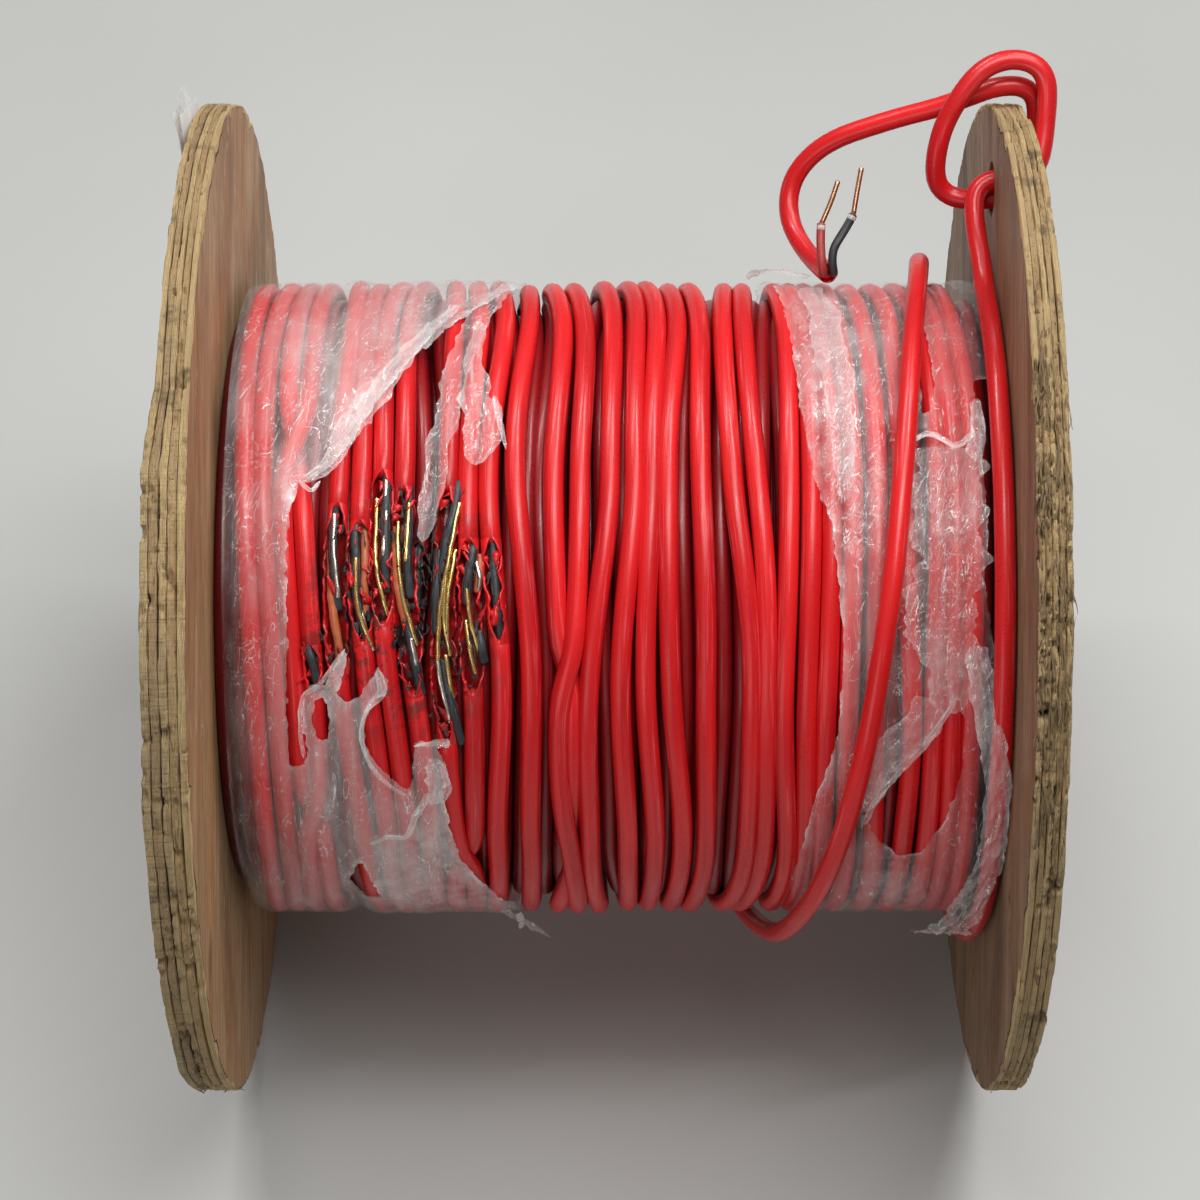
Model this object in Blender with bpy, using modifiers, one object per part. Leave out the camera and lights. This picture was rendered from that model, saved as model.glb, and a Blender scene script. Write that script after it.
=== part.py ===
"""Cable reel wound with red two-conductor cable.

Two plywood flanges hold a fibre drum between them in shallow grooves, and four tie bolts pull
them together. The cable is wound on the drum, stretch film is wrapped round both ends of the
winding, and the free end of the cable makes one loose turn before it is tied off through a hole
near the rim of the right flange. The reel's axis lies along X, the right flange is at +X, and the
reel stands on the flats worn into the bottom of its two rims. The origin is on the floor, below
the middle of the reel.
"""

import math

import bmesh
import bpy
from mathutils import Vector

# Driving dimensions, in metres unless the name says otherwise.
FLANGE_RADIUS = 0.2032
FLANGE_THICKNESS = 0.0127
TRAVERSE = 0.3048  # clear width between the flanges
REST_FLAT = 0.040  # width of the flat worn into each rim
ARBOR_RADIUS = 0.0270

DRUM_RADIUS = 0.0762
DRUM_WALL = 0.0064
GROOVE_DEPTH = 0.0032

BOLT_COUNT = 4
BOLT_FIRST_DEG = 45.0
BOLT_RADIUS = 0.0040
BOLT_HEAD_RADIUS = 0.0095
BOLT_HEAD_HEIGHT = 0.0044
BOLT_PAST_NUT = 0.0020
WASHER_RADIUS = 0.0110
WASHER_THICKNESS = 0.0016
WASHER_TO_DRUM = 0.0020  # from a washer's edge to the drum's inner wall, seen along the axis
NUT_ACROSS_FLATS = 0.0127
NUT_THICKNESS = 0.0067
NUT_CHAMFER = 0.0008

CABLE_RADIUS = 0.00403
INSULATION_RADIUS = 0.00175
COPPER_RADIUS = 0.00103
WINDING_RADIUS = 0.1320
TURN_SLACK = 0.0013  # how far the loose turn stands off what it lies on

FILM_THICKNESS = 0.0008  # the wrap's layers together
FILM_LEFT_WIDTH = 0.117
FILM_RIGHT_WIDTH = 0.090

TIE_HOLE_RADIUS = 0.0111
TIE_HOLE_FROM_RIM = 0.0321
TIE_HOLE_DEG = 123.3

LABEL_LENGTH = 0.100
LABEL_WIDTH = 0.058
LABEL_THICKNESS = 0.0003
LABEL_FROM_RIM = 0.0020
LABEL_DEG = 122.0

# Clearances.
GAP = 0.0003  # between pieces that touch
BOLT_FIT = 0.0004  # round a bolt in its holes, on the radius

# Facets round a full turn.
FLANGE_SIDES = 128
WINDING_SIDES = 96
DRUM_SIDES = 64
HOLE_SIDES = 40
BOLT_SIDES = 20
DOME_STEPS = 5
CABLE_RING_RESOLUTION = 3
WIRE_RING_RESOLUTION = 2

# How the cable's smooth route is read into points.
SPAN_STEPS = 24
EASE_STEP = 0.002
EASE_PASSES = 5
LONGEST_STEP = 0.026
SHORTEST_STEP = 0.0025
LARGEST_BEND_DEG = 19.0

# Worked out from the sizes above.
HALF_TRAVERSE = TRAVERSE / 2
OUTER_FACE = HALF_TRAVERSE + FLANGE_THICKNESS
AXIS_HEIGHT = math.sqrt(FLANGE_RADIUS**2 - (REST_FLAT / 2) ** 2)
BOLT_CIRCLE = DRUM_RADIUS - DRUM_WALL - WASHER_TO_DRUM - WASHER_RADIUS
WASHER_MIDDLE = OUTER_FACE + GAP + WASHER_THICKNESS / 2
HARDWARE_SEAT = OUTER_FACE + GAP + WASHER_THICKNESS + GAP
FILM_RADIUS = WINDING_RADIUS + GAP + FILM_THICKNESS
TURN_RADIUS = FILM_RADIUS + TURN_SLACK + CABLE_RADIUS
CUTTER_REACH = 2 * OUTER_FACE + 0.05

# The loose turn: its angle round the axis, from the front at floor level up and over the top, in
# degrees, and its place along the axis.
TURN_ROUTE = [
    (-62, 0.0520), (-46, 0.0620), (-30, 0.0700), (-10, 0.0792), (7, 0.0882), (25, 0.0960),
    (42, 0.1020), (57, 0.1068), (74, 0.1111), (94, 0.1161), (109, 0.1203), (125, 0.1245),
    (145, 0.1285), (170, 0.1318), (195, 0.1345), (220, 0.1370), (245, 0.1395), (270, 0.1420),
    (295, 0.1442), (320, 0.1460), (345, 0.1472), (365, 0.1478), (385, 0.1478), (405, 0.1478),
    (425, 0.1478), (445, 0.1478), (460, 0.1478),
]

# From the loose turn to the stripped end, measured from the middle of the reel's axis: up the
# right flange, out through the tie-off hole, over the rim in a loop, out through the hole again,
# and over the rim to the stripped end, which rests on the winding.
TAIL_ROUTE = [
    (0.1476, 0.0500, 0.1310), (0.1470, 0.0620, 0.1330), (0.1458, 0.0730, 0.1358),
    (0.1450, 0.0810, 0.1395), (0.1450, 0.0876, 0.1434), (0.1473, 0.0923, 0.1466),
    (0.1530, 0.0942, 0.1479), (0.1580, 0.0944, 0.1480), (0.1625, 0.0946, 0.1481),
    (0.1684, 0.0963, 0.1494), (0.1713, 0.1003, 0.1527), (0.1726, 0.1051, 0.1566),
    (0.1734, 0.1101, 0.1607), (0.1741, 0.1153, 0.1659), (0.1743, 0.1201, 0.1712),
    (0.1734, 0.1241, 0.1758), (0.1702, 0.1268, 0.1791), (0.1640, 0.1284, 0.1808),
    (0.1560, 0.1280, 0.1808), (0.1480, 0.1250, 0.1784), (0.1419, 0.1208, 0.1734),
    (0.1377, 0.1167, 0.1684), (0.1339, 0.1127, 0.1624), (0.1313, 0.1080, 0.1559),
    (0.1302, 0.1044, 0.1490), (0.1303, 0.1018, 0.1427), (0.1319, 0.1000, 0.1381),
    (0.1354, 0.0984, 0.1355), (0.1402, 0.0967, 0.1347), (0.1456, 0.0952, 0.1355),
    (0.1510, 0.0943, 0.1370), (0.1565, 0.0940, 0.1377), (0.1625, 0.0940, 0.1378),
    (0.1682, 0.0960, 0.1390), (0.1705, 0.1007, 0.1417), (0.1713, 0.1060, 0.1448),
    (0.1716, 0.1122, 0.1488), (0.1714, 0.1178, 0.1532), (0.1715, 0.1231, 0.1591),
    (0.1702, 0.1264, 0.1642), (0.1657, 0.1279, 0.1671), (0.1592, 0.1279, 0.1677),
    (0.1525, 0.1274, 0.1666), (0.1438, 0.1270, 0.1626), (0.1328, 0.1275, 0.1567),
    (0.1172, 0.1288, 0.1498), (0.1053, 0.1290, 0.1446), (0.0938, 0.1288, 0.1393),
    (0.0850, 0.1275, 0.1337), (0.0786, 0.1250, 0.1277), (0.0743, 0.1210, 0.1218),
    (0.0726, 0.1150, 0.1166), (0.0733, 0.1070, 0.1128), (0.0762, 0.0978, 0.1114),
    (0.0802, 0.0876, 0.1126), (0.0836, 0.0786, 0.1154), (0.0862, 0.0711, 0.1192),
]

# The two conductors at the stripped end, each from the jacket to where its insulation is cut,
# then its bare copper, all measured from the middle of the axis.
RED_ROUTE = [
    (0.0848, 0.0691, 0.1201), (0.0849, 0.0671, 0.1216), (0.0846, 0.0661, 0.1243),
    (0.0840, 0.0680, 0.1272), (0.0837, 0.0723, 0.1301), (0.0836, 0.0762, 0.1331),
    (0.0838, 0.0802, 0.1364),
]
RED_COPPER_ROUTE = [(0.0841, 0.0807, 0.1368), (0.0876, 0.0869, 0.1420), (0.0905, 0.0934, 0.1474)]
BLACK_ROUTE = [
    (0.0884, 0.0701, 0.1194), (0.0891, 0.0682, 0.1210), (0.0889, 0.0669, 0.1237),
    (0.0883, 0.0684, 0.1266), (0.0887, 0.0724, 0.1301), (0.0911, 0.0757, 0.1330),
    (0.0943, 0.0796, 0.1363), (0.0965, 0.0829, 0.1390),
]
BLACK_COPPER_ROUTE = [
    (0.0968, 0.0835, 0.1395), (0.0981, 0.0899, 0.1448), (0.0999, 0.0973, 0.1510),
]

PARTS = "cable_reel"
CUTTERS = "cable_reel_cutters"

# Name: colour, roughness, metallic.
FINISHES = {
    "plywood": ((0.58, 0.42, 0.25), 0.70, 0.0),
    "fibre": ((0.42, 0.31, 0.20), 0.85, 0.0),
    "zinc": ((0.62, 0.62, 0.60), 0.35, 1.0),
    "red_jacket": ((0.72, 0.03, 0.04), 0.45, 0.0),
    "red_insulation": ((0.45, 0.07, 0.07), 0.40, 0.0),
    "black_insulation": ((0.03, 0.03, 0.04), 0.40, 0.0),
    "copper": ((0.72, 0.38, 0.24), 0.30, 1.0),
    "stretch_film": ((0.85, 0.80, 0.80), 0.20, 0.0),
    "label_paper": ((0.86, 0.86, 0.84), 0.80, 0.0),
}


# Scene set-up.


def clear_scene():
    """Remove every object from the scene."""
    for item in list(bpy.data.objects):
        bpy.data.objects.remove(item, do_unlink=True)


def make_collection(name):
    """Return a new collection in the scene."""
    collection = bpy.data.collections.new(name)
    bpy.context.scene.collection.children.link(collection)
    return collection


def make_material(name):
    """Return the material of a finish, made at its first use."""
    material = bpy.data.materials.get(name)
    if material:
        return material
    colour, roughness, metallic = FINISHES[name]
    material = bpy.data.materials.new(name)
    material.use_nodes = True
    shader = material.node_tree.nodes["Principled BSDF"]
    shader.inputs["Base Color"].default_value = (*colour, 1.0)
    shader.inputs["Roughness"].default_value = roughness
    shader.inputs["Metallic"].default_value = metallic
    return material


def on_axis(x, radius=0.0, degrees=0.0):
    """A point at x along the reel's axis, at a radius and an angle from the front at floor level."""
    angle = math.radians(degrees)
    return Vector((x, -radius * math.cos(angle), AXIS_HEIGHT + radius * math.sin(angle)))


def add_object(name, data, finish=None, location=(0, 0, 0), rotation=(0, 0, 0)):
    """Link an object to the parts, or to the cutters if it has no finish."""
    item = bpy.data.objects.new(name, data)
    item.location = location
    item.rotation_euler = rotation
    if finish:
        data.materials.append(make_material(finish))
        bpy.data.collections[PARTS].objects.link(item)
    else:
        item.hide_render = True
        item.display_type = "WIRE"
        bpy.data.collections[CUTTERS].objects.link(item)
    return item


# Shapes.


def cylinder_mesh(name, radius, length, sides):
    """A closed cylinder along its own Z."""
    mesh = bpy.data.meshes.new(name)
    shape = bmesh.new()
    bmesh.ops.create_cone(
        shape, cap_ends=True, segments=sides, radius1=radius, radius2=radius, depth=length
    )
    shape.to_mesh(mesh)
    shape.free()
    return mesh


def box_mesh(name, size):
    """A closed box centred on its origin."""
    mesh = bpy.data.meshes.new(name)
    shape = bmesh.new()
    bmesh.ops.create_cube(shape, size=1.0)
    bmesh.ops.scale(shape, vec=size, verts=shape.verts)
    shape.to_mesh(mesh)
    shape.free()
    return mesh


def profile_mesh(name, points, closed):
    """The (radius, height) points of a turned shape as a line of edges at +X."""
    mesh = bpy.data.meshes.new(name)
    edges = [(i, i + 1) for i in range(len(points) - 1)]
    if closed:
        edges.append((len(points) - 1, 0))
    mesh.from_pydata([(radius, 0.0, height) for radius, height in points], edges, [])
    return mesh


def turned(name, points, sides, finish, location, rotation, closed=True):
    """A shape turned from its profile, which runs down its outer side."""
    item = add_object(name, profile_mesh(name, points, closed), finish, location, rotation)
    screw = item.modifiers.new("turn", "SCREW")
    screw.axis = "Z"
    screw.angle = 2 * math.pi
    screw.screw_offset = 0.0
    screw.steps = sides
    screw.render_steps = sides
    screw.use_merge_vertices = True
    screw.merge_threshold = 0.00005
    screw.use_smooth_shade = True
    return item


def ring_profile(inner, outer, width):
    """The closed profile of a plain ring."""
    half = width / 2
    return [(outer, half), (outer, -half), (inner, -half), (inner, half)]


def cut(item, cutters):
    """Cut each cutter out of an object."""
    for cutter in cutters:
        boolean = item.modifiers.new("cut_" + cutter.name, "BOOLEAN")
        boolean.operation = "DIFFERENCE"
        boolean.solver = "EXACT"
        boolean.object = cutter


def spline_through(points):
    """Many points on one smooth curve through the route's points."""
    ends = [2 * points[0] - points[1], *points, 2 * points[-1] - points[-2]]
    line = []
    for before, start, end, after in zip(ends, ends[1:], ends[2:], ends[3:]):
        for step in range(SPAN_STEPS):
            t = step / SPAN_STEPS
            line.append(
                0.5
                * (
                    2 * start
                    + (end - before) * t
                    + (2 * before - 5 * start + 4 * end - after) * t**2
                    + (3 * start - before - 3 * end + after) * t**3
                )
            )
    line.append(points[-1])
    return line


def evenly(line, step):
    """The points at equal steps along a line, its two ends among them."""
    kept = [line[0]]
    for start, end in zip(line, line[1:]):
        while (end - kept[-1]).length > step:
            kept.append(kept[-1] + (end - kept[-1]).normalized() * step)
    kept[-1] = line[-1]
    return kept


def smooth_route(points):
    """A smooth route with its sharpest bends eased, as a stiff cable takes them."""
    line = evenly(spline_through(points), EASE_STEP)
    for _ in range(EASE_PASSES):
        eased = [(a + 2 * b + c) / 4 for a, b, c in zip(line, line[1:], line[2:])]
        line = [line[0], *eased, line[-1]]
    return line


def spread(line):
    """The points of a line to keep, so that no stretch is too long or bends too far."""
    kept = [line[0]]
    heading = line[1] - line[0]
    for before, point, after in zip(line, line[1:], line[2:]):
        stretch = (point - kept[-1]).length
        bend = math.degrees(heading.angle(after - point))
        if stretch >= LONGEST_STEP or (bend >= LARGEST_BEND_DEG and stretch >= SHORTEST_STEP):
            kept.append(point)
            heading = after - point
    if (line[-1] - kept[-1]).length < SHORTEST_STEP:
        kept.pop()
    kept.append(line[-1])
    return kept


def tube(name, points, radius, finish, ring_resolution):
    """A round tube along points measured from the middle of the axis."""
    curve = bpy.data.curves.new(name, "CURVE")
    curve.dimensions = "3D"
    curve.bevel_depth = radius
    curve.bevel_resolution = ring_resolution
    curve.use_fill_caps = True
    spline = curve.splines.new("POLY")
    spline.points.add(len(points) - 1)
    for target, point in zip(spline.points, points):
        target.co = (*point, 1.0)
    return add_object(name, curve, finish, location=on_axis(0.0))


# Cutters that both flanges share.


ALONG_X = (0, math.pi / 2, 0)  # turns a shape's own +Z to +X
AGAINST_X = (0, -math.pi / 2, 0)  # turns a shape's own +Z to -X


def bolt_place(index, x):
    """Where bolt number index crosses the plane at x."""
    return on_axis(x, BOLT_CIRCLE, BOLT_FIRST_DEG + index * 360 / BOLT_COUNT)


def through_cutter(name, radius, location, sides):
    """A cutter along the axis that runs past both outer faces."""
    mesh = cylinder_mesh(name, radius, CUTTER_REACH, sides)
    return add_object(name, mesh, location=location, rotation=ALONG_X)


def floor_cutter():
    """A block below the floor, which flattens the bottom of the rims."""
    depth = FLANGE_RADIUS / 4
    size = (CUTTER_REACH, FLANGE_RADIUS, depth)
    return add_object("floor_cutter", box_mesh("floor_cutter", size), location=(0, 0, -depth / 2))


# The reel's pieces.


def make_flange(name, side, shared_cutters):
    """A plywood disc with its arbor hole, its bolt holes and the groove that the drum sits in."""
    middle = side * (HALF_TRAVERSE + FLANGE_THICKNESS / 2)
    disc = cylinder_mesh(name, FLANGE_RADIUS, FLANGE_THICKNESS, FLANGE_SIDES)
    flange = add_object(name, disc, "plywood", on_axis(middle), ALONG_X)
    groove = turned(
        name + "_groove_cutter",
        ring_profile(DRUM_RADIUS - DRUM_WALL - GAP, DRUM_RADIUS + GAP, 2 * GROOVE_DEPTH),
        DRUM_SIDES,
        None,
        on_axis(side * HALF_TRAVERSE),
        ALONG_X,
    )
    cut(flange, [*shared_cutters, groove])
    return flange


def make_drum():
    """The fibre tube that the cable is wound on, seated in both flanges."""
    length = TRAVERSE + 2 * (GROOVE_DEPTH - GAP)
    profile = ring_profile(DRUM_RADIUS - DRUM_WALL, DRUM_RADIUS, length)
    turned("drum_tube", profile, DRUM_SIDES, "fibre", on_axis(0.0), ALONG_X)


def make_tie_bolt(index):
    """A domed bolt through both flanges, its head at the left."""
    shank = 2 * HARDWARE_SEAT + NUT_THICKNESS + BOLT_PAST_NUT
    profile = [
        (
            BOLT_HEAD_RADIUS * math.sin(math.pi / 2 * step / DOME_STEPS),
            BOLT_HEAD_HEIGHT * math.cos(math.pi / 2 * step / DOME_STEPS),
        )
        for step in range(DOME_STEPS)
    ]
    profile += [(BOLT_HEAD_RADIUS, 0.0), (BOLT_RADIUS, 0.0), (BOLT_RADIUS, -shank), (0.0, -shank)]
    name = f"tie_bolt_{index + 1}"
    place = bolt_place(index, -HARDWARE_SEAT)
    turned(name, profile, BOLT_SIDES, "zinc", place, AGAINST_X, closed=False)


def make_washer(index, side, label):
    """A flat washer on a flange's outer face."""
    profile = ring_profile(BOLT_RADIUS + BOLT_FIT, WASHER_RADIUS, WASHER_THICKNESS)
    name = f"washer_{label}_{index + 1}"
    turned(name, profile, BOLT_SIDES, "zinc", bolt_place(index, side * WASHER_MIDDLE), ALONG_X)


def make_tie_nut(index, bolt_cutter):
    """A hexagon nut on the right end of a tie bolt."""
    name = f"tie_nut_{index + 1}"
    corner_radius = NUT_ACROSS_FLATS / 2 / math.cos(math.pi / 6)
    middle = HARDWARE_SEAT + NUT_THICKNESS / 2
    mesh = cylinder_mesh(name, corner_radius, NUT_THICKNESS, 6)
    nut = add_object(name, mesh, "zinc", bolt_place(index, middle), ALONG_X)
    bevel = nut.modifiers.new("edges", "BEVEL")
    bevel.width = NUT_CHAMFER
    bevel.segments = 1
    bevel.limit_method = "ANGLE"
    cut(nut, [bolt_cutter])


def make_winding():
    """The wound cable as one solid ring between the flanges."""
    profile = ring_profile(DRUM_RADIUS + GAP, WINDING_RADIUS, TRAVERSE - 2 * GAP)
    turned("cable_winding", profile, WINDING_SIDES, "red_jacket", on_axis(0.0), ALONG_X)


def make_film(name, side, width):
    """The stretch film round one end of the winding, as a thin sleeve against the flange."""
    middle = side * (HALF_TRAVERSE - GAP - width / 2)
    profile = ring_profile(WINDING_RADIUS + GAP, FILM_RADIUS, width)
    turned(name, profile, WINDING_SIDES, "stretch_film", on_axis(middle), ALONG_X)


def make_label():
    """A blank label on the outer face of the left flange, its far edge close to the rim."""
    middle = FLANGE_RADIUS - LABEL_FROM_RIM - LABEL_LENGTH / 2
    place = on_axis(-(OUTER_FACE + GAP + LABEL_THICKNESS / 2), middle, LABEL_DEG)
    mesh = box_mesh("label", (LABEL_THICKNESS, LABEL_LENGTH, LABEL_WIDTH))
    tilt = (math.radians(180 - LABEL_DEG), 0, 0)
    add_object("label", mesh, "label_paper", place, tilt)


def turn_points():
    """The loose turn's route as points measured from the middle of the axis."""
    points = []
    for degrees, x in TURN_ROUTE:
        angle = math.radians(degrees)
        points.append(
            Vector((x, -TURN_RADIUS * math.cos(angle), TURN_RADIUS * math.sin(angle)))
        )
    return points


def make_free_end():
    """The cable's free end: the loose turn, the tie-off and the stripped conductors."""
    route = turn_points() + [Vector(point) for point in TAIL_ROUTE]
    tube(
        "cable_free_end",
        spread(smooth_route(route)),
        CABLE_RADIUS,
        "red_jacket",
        CABLE_RING_RESOLUTION,
    )
    wires = (
        ("conductor_red", RED_ROUTE, INSULATION_RADIUS, "red_insulation"),
        ("conductor_black", BLACK_ROUTE, INSULATION_RADIUS, "black_insulation"),
        ("copper_end_red", RED_COPPER_ROUTE, COPPER_RADIUS, "copper"),
        ("copper_end_black", BLACK_COPPER_ROUTE, COPPER_RADIUS, "copper"),
    )
    for name, points, radius, finish in wires:
        line = spread(smooth_route([Vector(point) for point in points]))
        tube(name, line, radius, finish, WIRE_RING_RESOLUTION)


def shade_round_pieces():
    """Shade every mesh smooth, with sharp edges where its faces meet at an angle."""
    for item in bpy.data.collections[PARTS].objects:
        if item.type == "MESH":
            item.data.shade_smooth()
            item.data.set_sharp_from_angle(angle=math.radians(35))


def build():
    """Build the whole reel."""
    clear_scene()
    make_collection(PARTS)
    make_collection(CUTTERS)

    bolt_cutters = [
        through_cutter(
            f"bolt_cutter_{index + 1}", BOLT_RADIUS + BOLT_FIT, bolt_place(index, 0.0), BOLT_SIDES
        )
        for index in range(BOLT_COUNT)
    ]
    arbor_cutter = through_cutter("arbor_cutter", ARBOR_RADIUS, on_axis(0.0), HOLE_SIDES)
    shared = [arbor_cutter, *bolt_cutters, floor_cutter()]

    make_flange("flange_left", -1, shared)
    right = make_flange("flange_right", 1, shared)
    tie_hole = on_axis(OUTER_FACE, FLANGE_RADIUS - TIE_HOLE_FROM_RIM, TIE_HOLE_DEG)
    tie_length = 4 * FLANGE_THICKNESS
    tie_mesh = cylinder_mesh("tie_hole_cutter", TIE_HOLE_RADIUS, tie_length, HOLE_SIDES)
    cut(right, [add_object("tie_hole_cutter", tie_mesh, location=tie_hole, rotation=ALONG_X)])

    make_drum()
    for index, bolt_cutter in enumerate(bolt_cutters):
        make_tie_bolt(index)
        make_washer(index, -1, "left")
        make_washer(index, 1, "right")
        make_tie_nut(index, bolt_cutter)
    make_winding()
    make_film("film_left", -1, FILM_LEFT_WIDTH)
    make_film("film_right", 1, FILM_RIGHT_WIDTH)
    make_free_end()
    make_label()
    shade_round_pieces()


build()
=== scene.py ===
"""Looks of a plywood cable reel wound with red two-conductor cable.

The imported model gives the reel's sizes and places. This script builds what is seen of it: two
worn plywood flanges, the wound cable with its torn stretch, the torn stretch film round both
ends of the winding, the free end that is tied off through the right flange, and the hardware.
Lengths are in metres unless a name says otherwise. Angles round the reel's axis are in degrees:
0 is the front at the height of the axis, 90 is the top and 180 is the back.
"""

import functools
import logging
import math
from dataclasses import dataclass
from enum import Enum

import bmesh
import bpy
import numpy as np
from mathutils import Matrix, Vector


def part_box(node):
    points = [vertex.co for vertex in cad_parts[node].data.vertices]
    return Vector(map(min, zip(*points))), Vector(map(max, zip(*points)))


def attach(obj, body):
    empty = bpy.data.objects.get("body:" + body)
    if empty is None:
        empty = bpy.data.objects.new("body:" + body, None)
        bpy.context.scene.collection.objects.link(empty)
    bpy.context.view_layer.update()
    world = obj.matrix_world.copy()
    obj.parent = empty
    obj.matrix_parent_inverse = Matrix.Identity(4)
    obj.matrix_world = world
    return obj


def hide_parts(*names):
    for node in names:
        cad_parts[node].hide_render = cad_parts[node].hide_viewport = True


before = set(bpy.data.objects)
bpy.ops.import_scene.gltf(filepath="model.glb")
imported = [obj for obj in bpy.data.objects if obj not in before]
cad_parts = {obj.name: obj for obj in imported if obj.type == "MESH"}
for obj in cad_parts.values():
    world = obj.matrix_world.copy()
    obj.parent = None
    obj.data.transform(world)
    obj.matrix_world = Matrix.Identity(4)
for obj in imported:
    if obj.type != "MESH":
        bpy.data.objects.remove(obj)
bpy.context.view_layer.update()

ROOT_BODY = "root"
LOG = logging.getLogger("cable_reel")

Colour = tuple[float, float, float]
Place = tuple[float, float]
Socket = bpy.types.NodeSocket
Piece = bpy.types.Object
Material = bpy.types.Material

MM = 0.001
FULL_TURN = 360.0


@dataclass(frozen=True)
class ReelSizes:
    """The sizes that every sub-assembly shares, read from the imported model."""

    flange_radius: float
    axis_height: float
    inner_face: float
    outer_face: float
    winding_radius: float
    drum_radius: float

    @classmethod
    def read(cls) -> "ReelSizes":
        """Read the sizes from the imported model's boxes.

        Returns:
            The sizes.
        """
        low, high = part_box("flange_right")
        radius = (high.y - low.y) / 2
        winding_low, winding_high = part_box("cable_winding")
        drum_low, drum_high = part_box("drum_tube")
        return cls(
            flange_radius=radius,
            axis_height=high.z - radius,
            inner_face=low.x,
            outer_face=high.x,
            winding_radius=(winding_high.y - winding_low.y) / 2,
            drum_radius=(drum_high.y - drum_low.y) / 2,
        )

    def points(self, x: np.ndarray, radius: np.ndarray, degrees: np.ndarray) -> np.ndarray:
        """Turn places round the reel's axis into points.

        Args:
            x: Places along the axis.
            radius: Distances from the axis.
            degrees: Angles round the axis.

        Returns:
            The points, with x, y and z along the last dimension.
        """
        angle = np.radians(degrees)
        x, radius, angle = np.broadcast_arrays(x, radius, angle)
        return np.stack([x, -radius * np.cos(angle), self.axis_height + radius * np.sin(angle)], axis=-1)


SIZES = ReelSizes.read()


@functools.lru_cache(maxsize=None)
def noise_table(seed: int) -> np.ndarray:
    """The random values that a noise with this seed is read from."""
    return np.random.RandomState(seed).uniform(-1.0, 1.0, (256, 256))


def lattice_noise(x: np.ndarray, y: np.ndarray, seed: int, period: int = 256) -> np.ndarray:
    """Smooth random values between -1 and 1 over a plane, one hill or so per unit.

    Args:
        x: First coordinates.
        y: Second coordinates, of the same shape.
        seed: Which random surface to read.
        period: After how many units in y the surface repeats.

    Returns:
        The surface's values.
    """
    table = noise_table(int(seed))
    x, y = np.broadcast_arrays(np.asarray(x, float), np.asarray(y, float))
    column, row = np.floor(x).astype(int), np.floor(y).astype(int)
    across, along = x - column, y - row
    across = across * across * (3 - 2 * across)
    along = along * along * (3 - 2 * along)
    left, right = column % 256, (column + 1) % 256
    low, high = row % period, (row + 1) % period
    lower = table[left, low] * (1 - across) + table[right, low] * across
    upper = table[left, high] * (1 - across) + table[right, high] * across
    return lower * (1 - along) + upper * along


def layered_noise(
    x: np.ndarray, y: np.ndarray, seed: int, layers: int = 3, period: int = 256
) -> np.ndarray:
    """Several layers of lattice noise, each half as large and twice as fine as the one before.

    Args:
        x: First coordinates.
        y: Second coordinates.
        seed: Which random surface to read.
        layers: How many layers to add up.
        period: After how many units in y the coarsest layer repeats.

    Returns:
        The sum, within about -1 and 1.
    """
    total = np.zeros(np.broadcast(x, y).shape)
    for layer in range(layers):
        scale = 2**layer
        wrap = min(256, period * scale)
        finer = lattice_noise(np.multiply(x, scale), np.multiply(y, scale), seed + layer, wrap)
        total = total + finer / scale
    return total / 1.6


class MeshDraft:
    """The shapes of one piece, gathered before its mesh is made."""

    def __init__(self) -> None:
        """Start with nothing."""
        self.points: list[np.ndarray] = []
        self.lays: list[np.ndarray] = []
        self.faces: list[tuple[np.ndarray, int]] = []
        self.count = 0

    def add(
        self,
        points: np.ndarray,
        faces: list[np.ndarray],
        lay: np.ndarray | None = None,
        finish: int = 0,
    ) -> None:
        """Add a shape.

        Args:
            points: Its points, one row each.
            faces: Arrays of corner numbers, each of faces with the same number of corners.
            lay: Three values a point for the finish, such as the place along a cable.
            finish: Which of the piece's finishes its faces take.
        """
        points = points.reshape(-1, 3)
        self.points.append(points)
        self.lays.append(np.zeros_like(points) if lay is None else lay.reshape(-1, 3))
        for corners in faces:
            if len(corners):
                self.faces.append((corners + self.count, finish))
        self.count += len(points)

    def piece(self, name: str, finishes: list[Material], smooth: bool = True) -> Piece:
        """Make the piece from what was gathered.

        Args:
            name: The piece's name.
            finishes: Its materials.
            smooth: Whether its faces are shaded smooth.

        Returns:
            The piece, which rides on the reel.
        """
        mesh = bpy.data.meshes.new(name)
        corners = np.concatenate([faces.ravel() for faces, _ in self.faces])
        widths = np.concatenate([np.full(len(f), f.shape[1]) for f, _ in self.faces])
        finish_of = np.concatenate([np.full(len(f), finish) for f, finish in self.faces])
        starts = np.concatenate([[0], np.cumsum(widths)[:-1]])
        mesh.vertices.add(self.count)
        mesh.vertices.foreach_set("co", np.concatenate(self.points).astype(np.float32).ravel())
        mesh.loops.add(len(corners))
        mesh.loops.foreach_set("vertex_index", corners.astype(np.int32))
        mesh.polygons.add(len(widths))
        mesh.polygons.foreach_set("loop_start", starts.astype(np.int32))
        mesh.polygons.foreach_set("material_index", finish_of.astype(np.int32))
        mesh.polygons.foreach_set("use_smooth", np.full(len(widths), smooth))
        lay = mesh.attributes.new("lay", "FLOAT_VECTOR", "POINT")
        lay.data.foreach_set("vector", np.concatenate(self.lays).astype(np.float32).ravel())
        mesh.update(calc_edges=True)
        mesh.validate()
        for material in finishes:
            mesh.materials.append(material)
        piece = bpy.data.objects.new(name, mesh)
        bpy.context.scene.collection.objects.link(piece)
        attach(piece, ROOT_BODY)
        return piece


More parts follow.
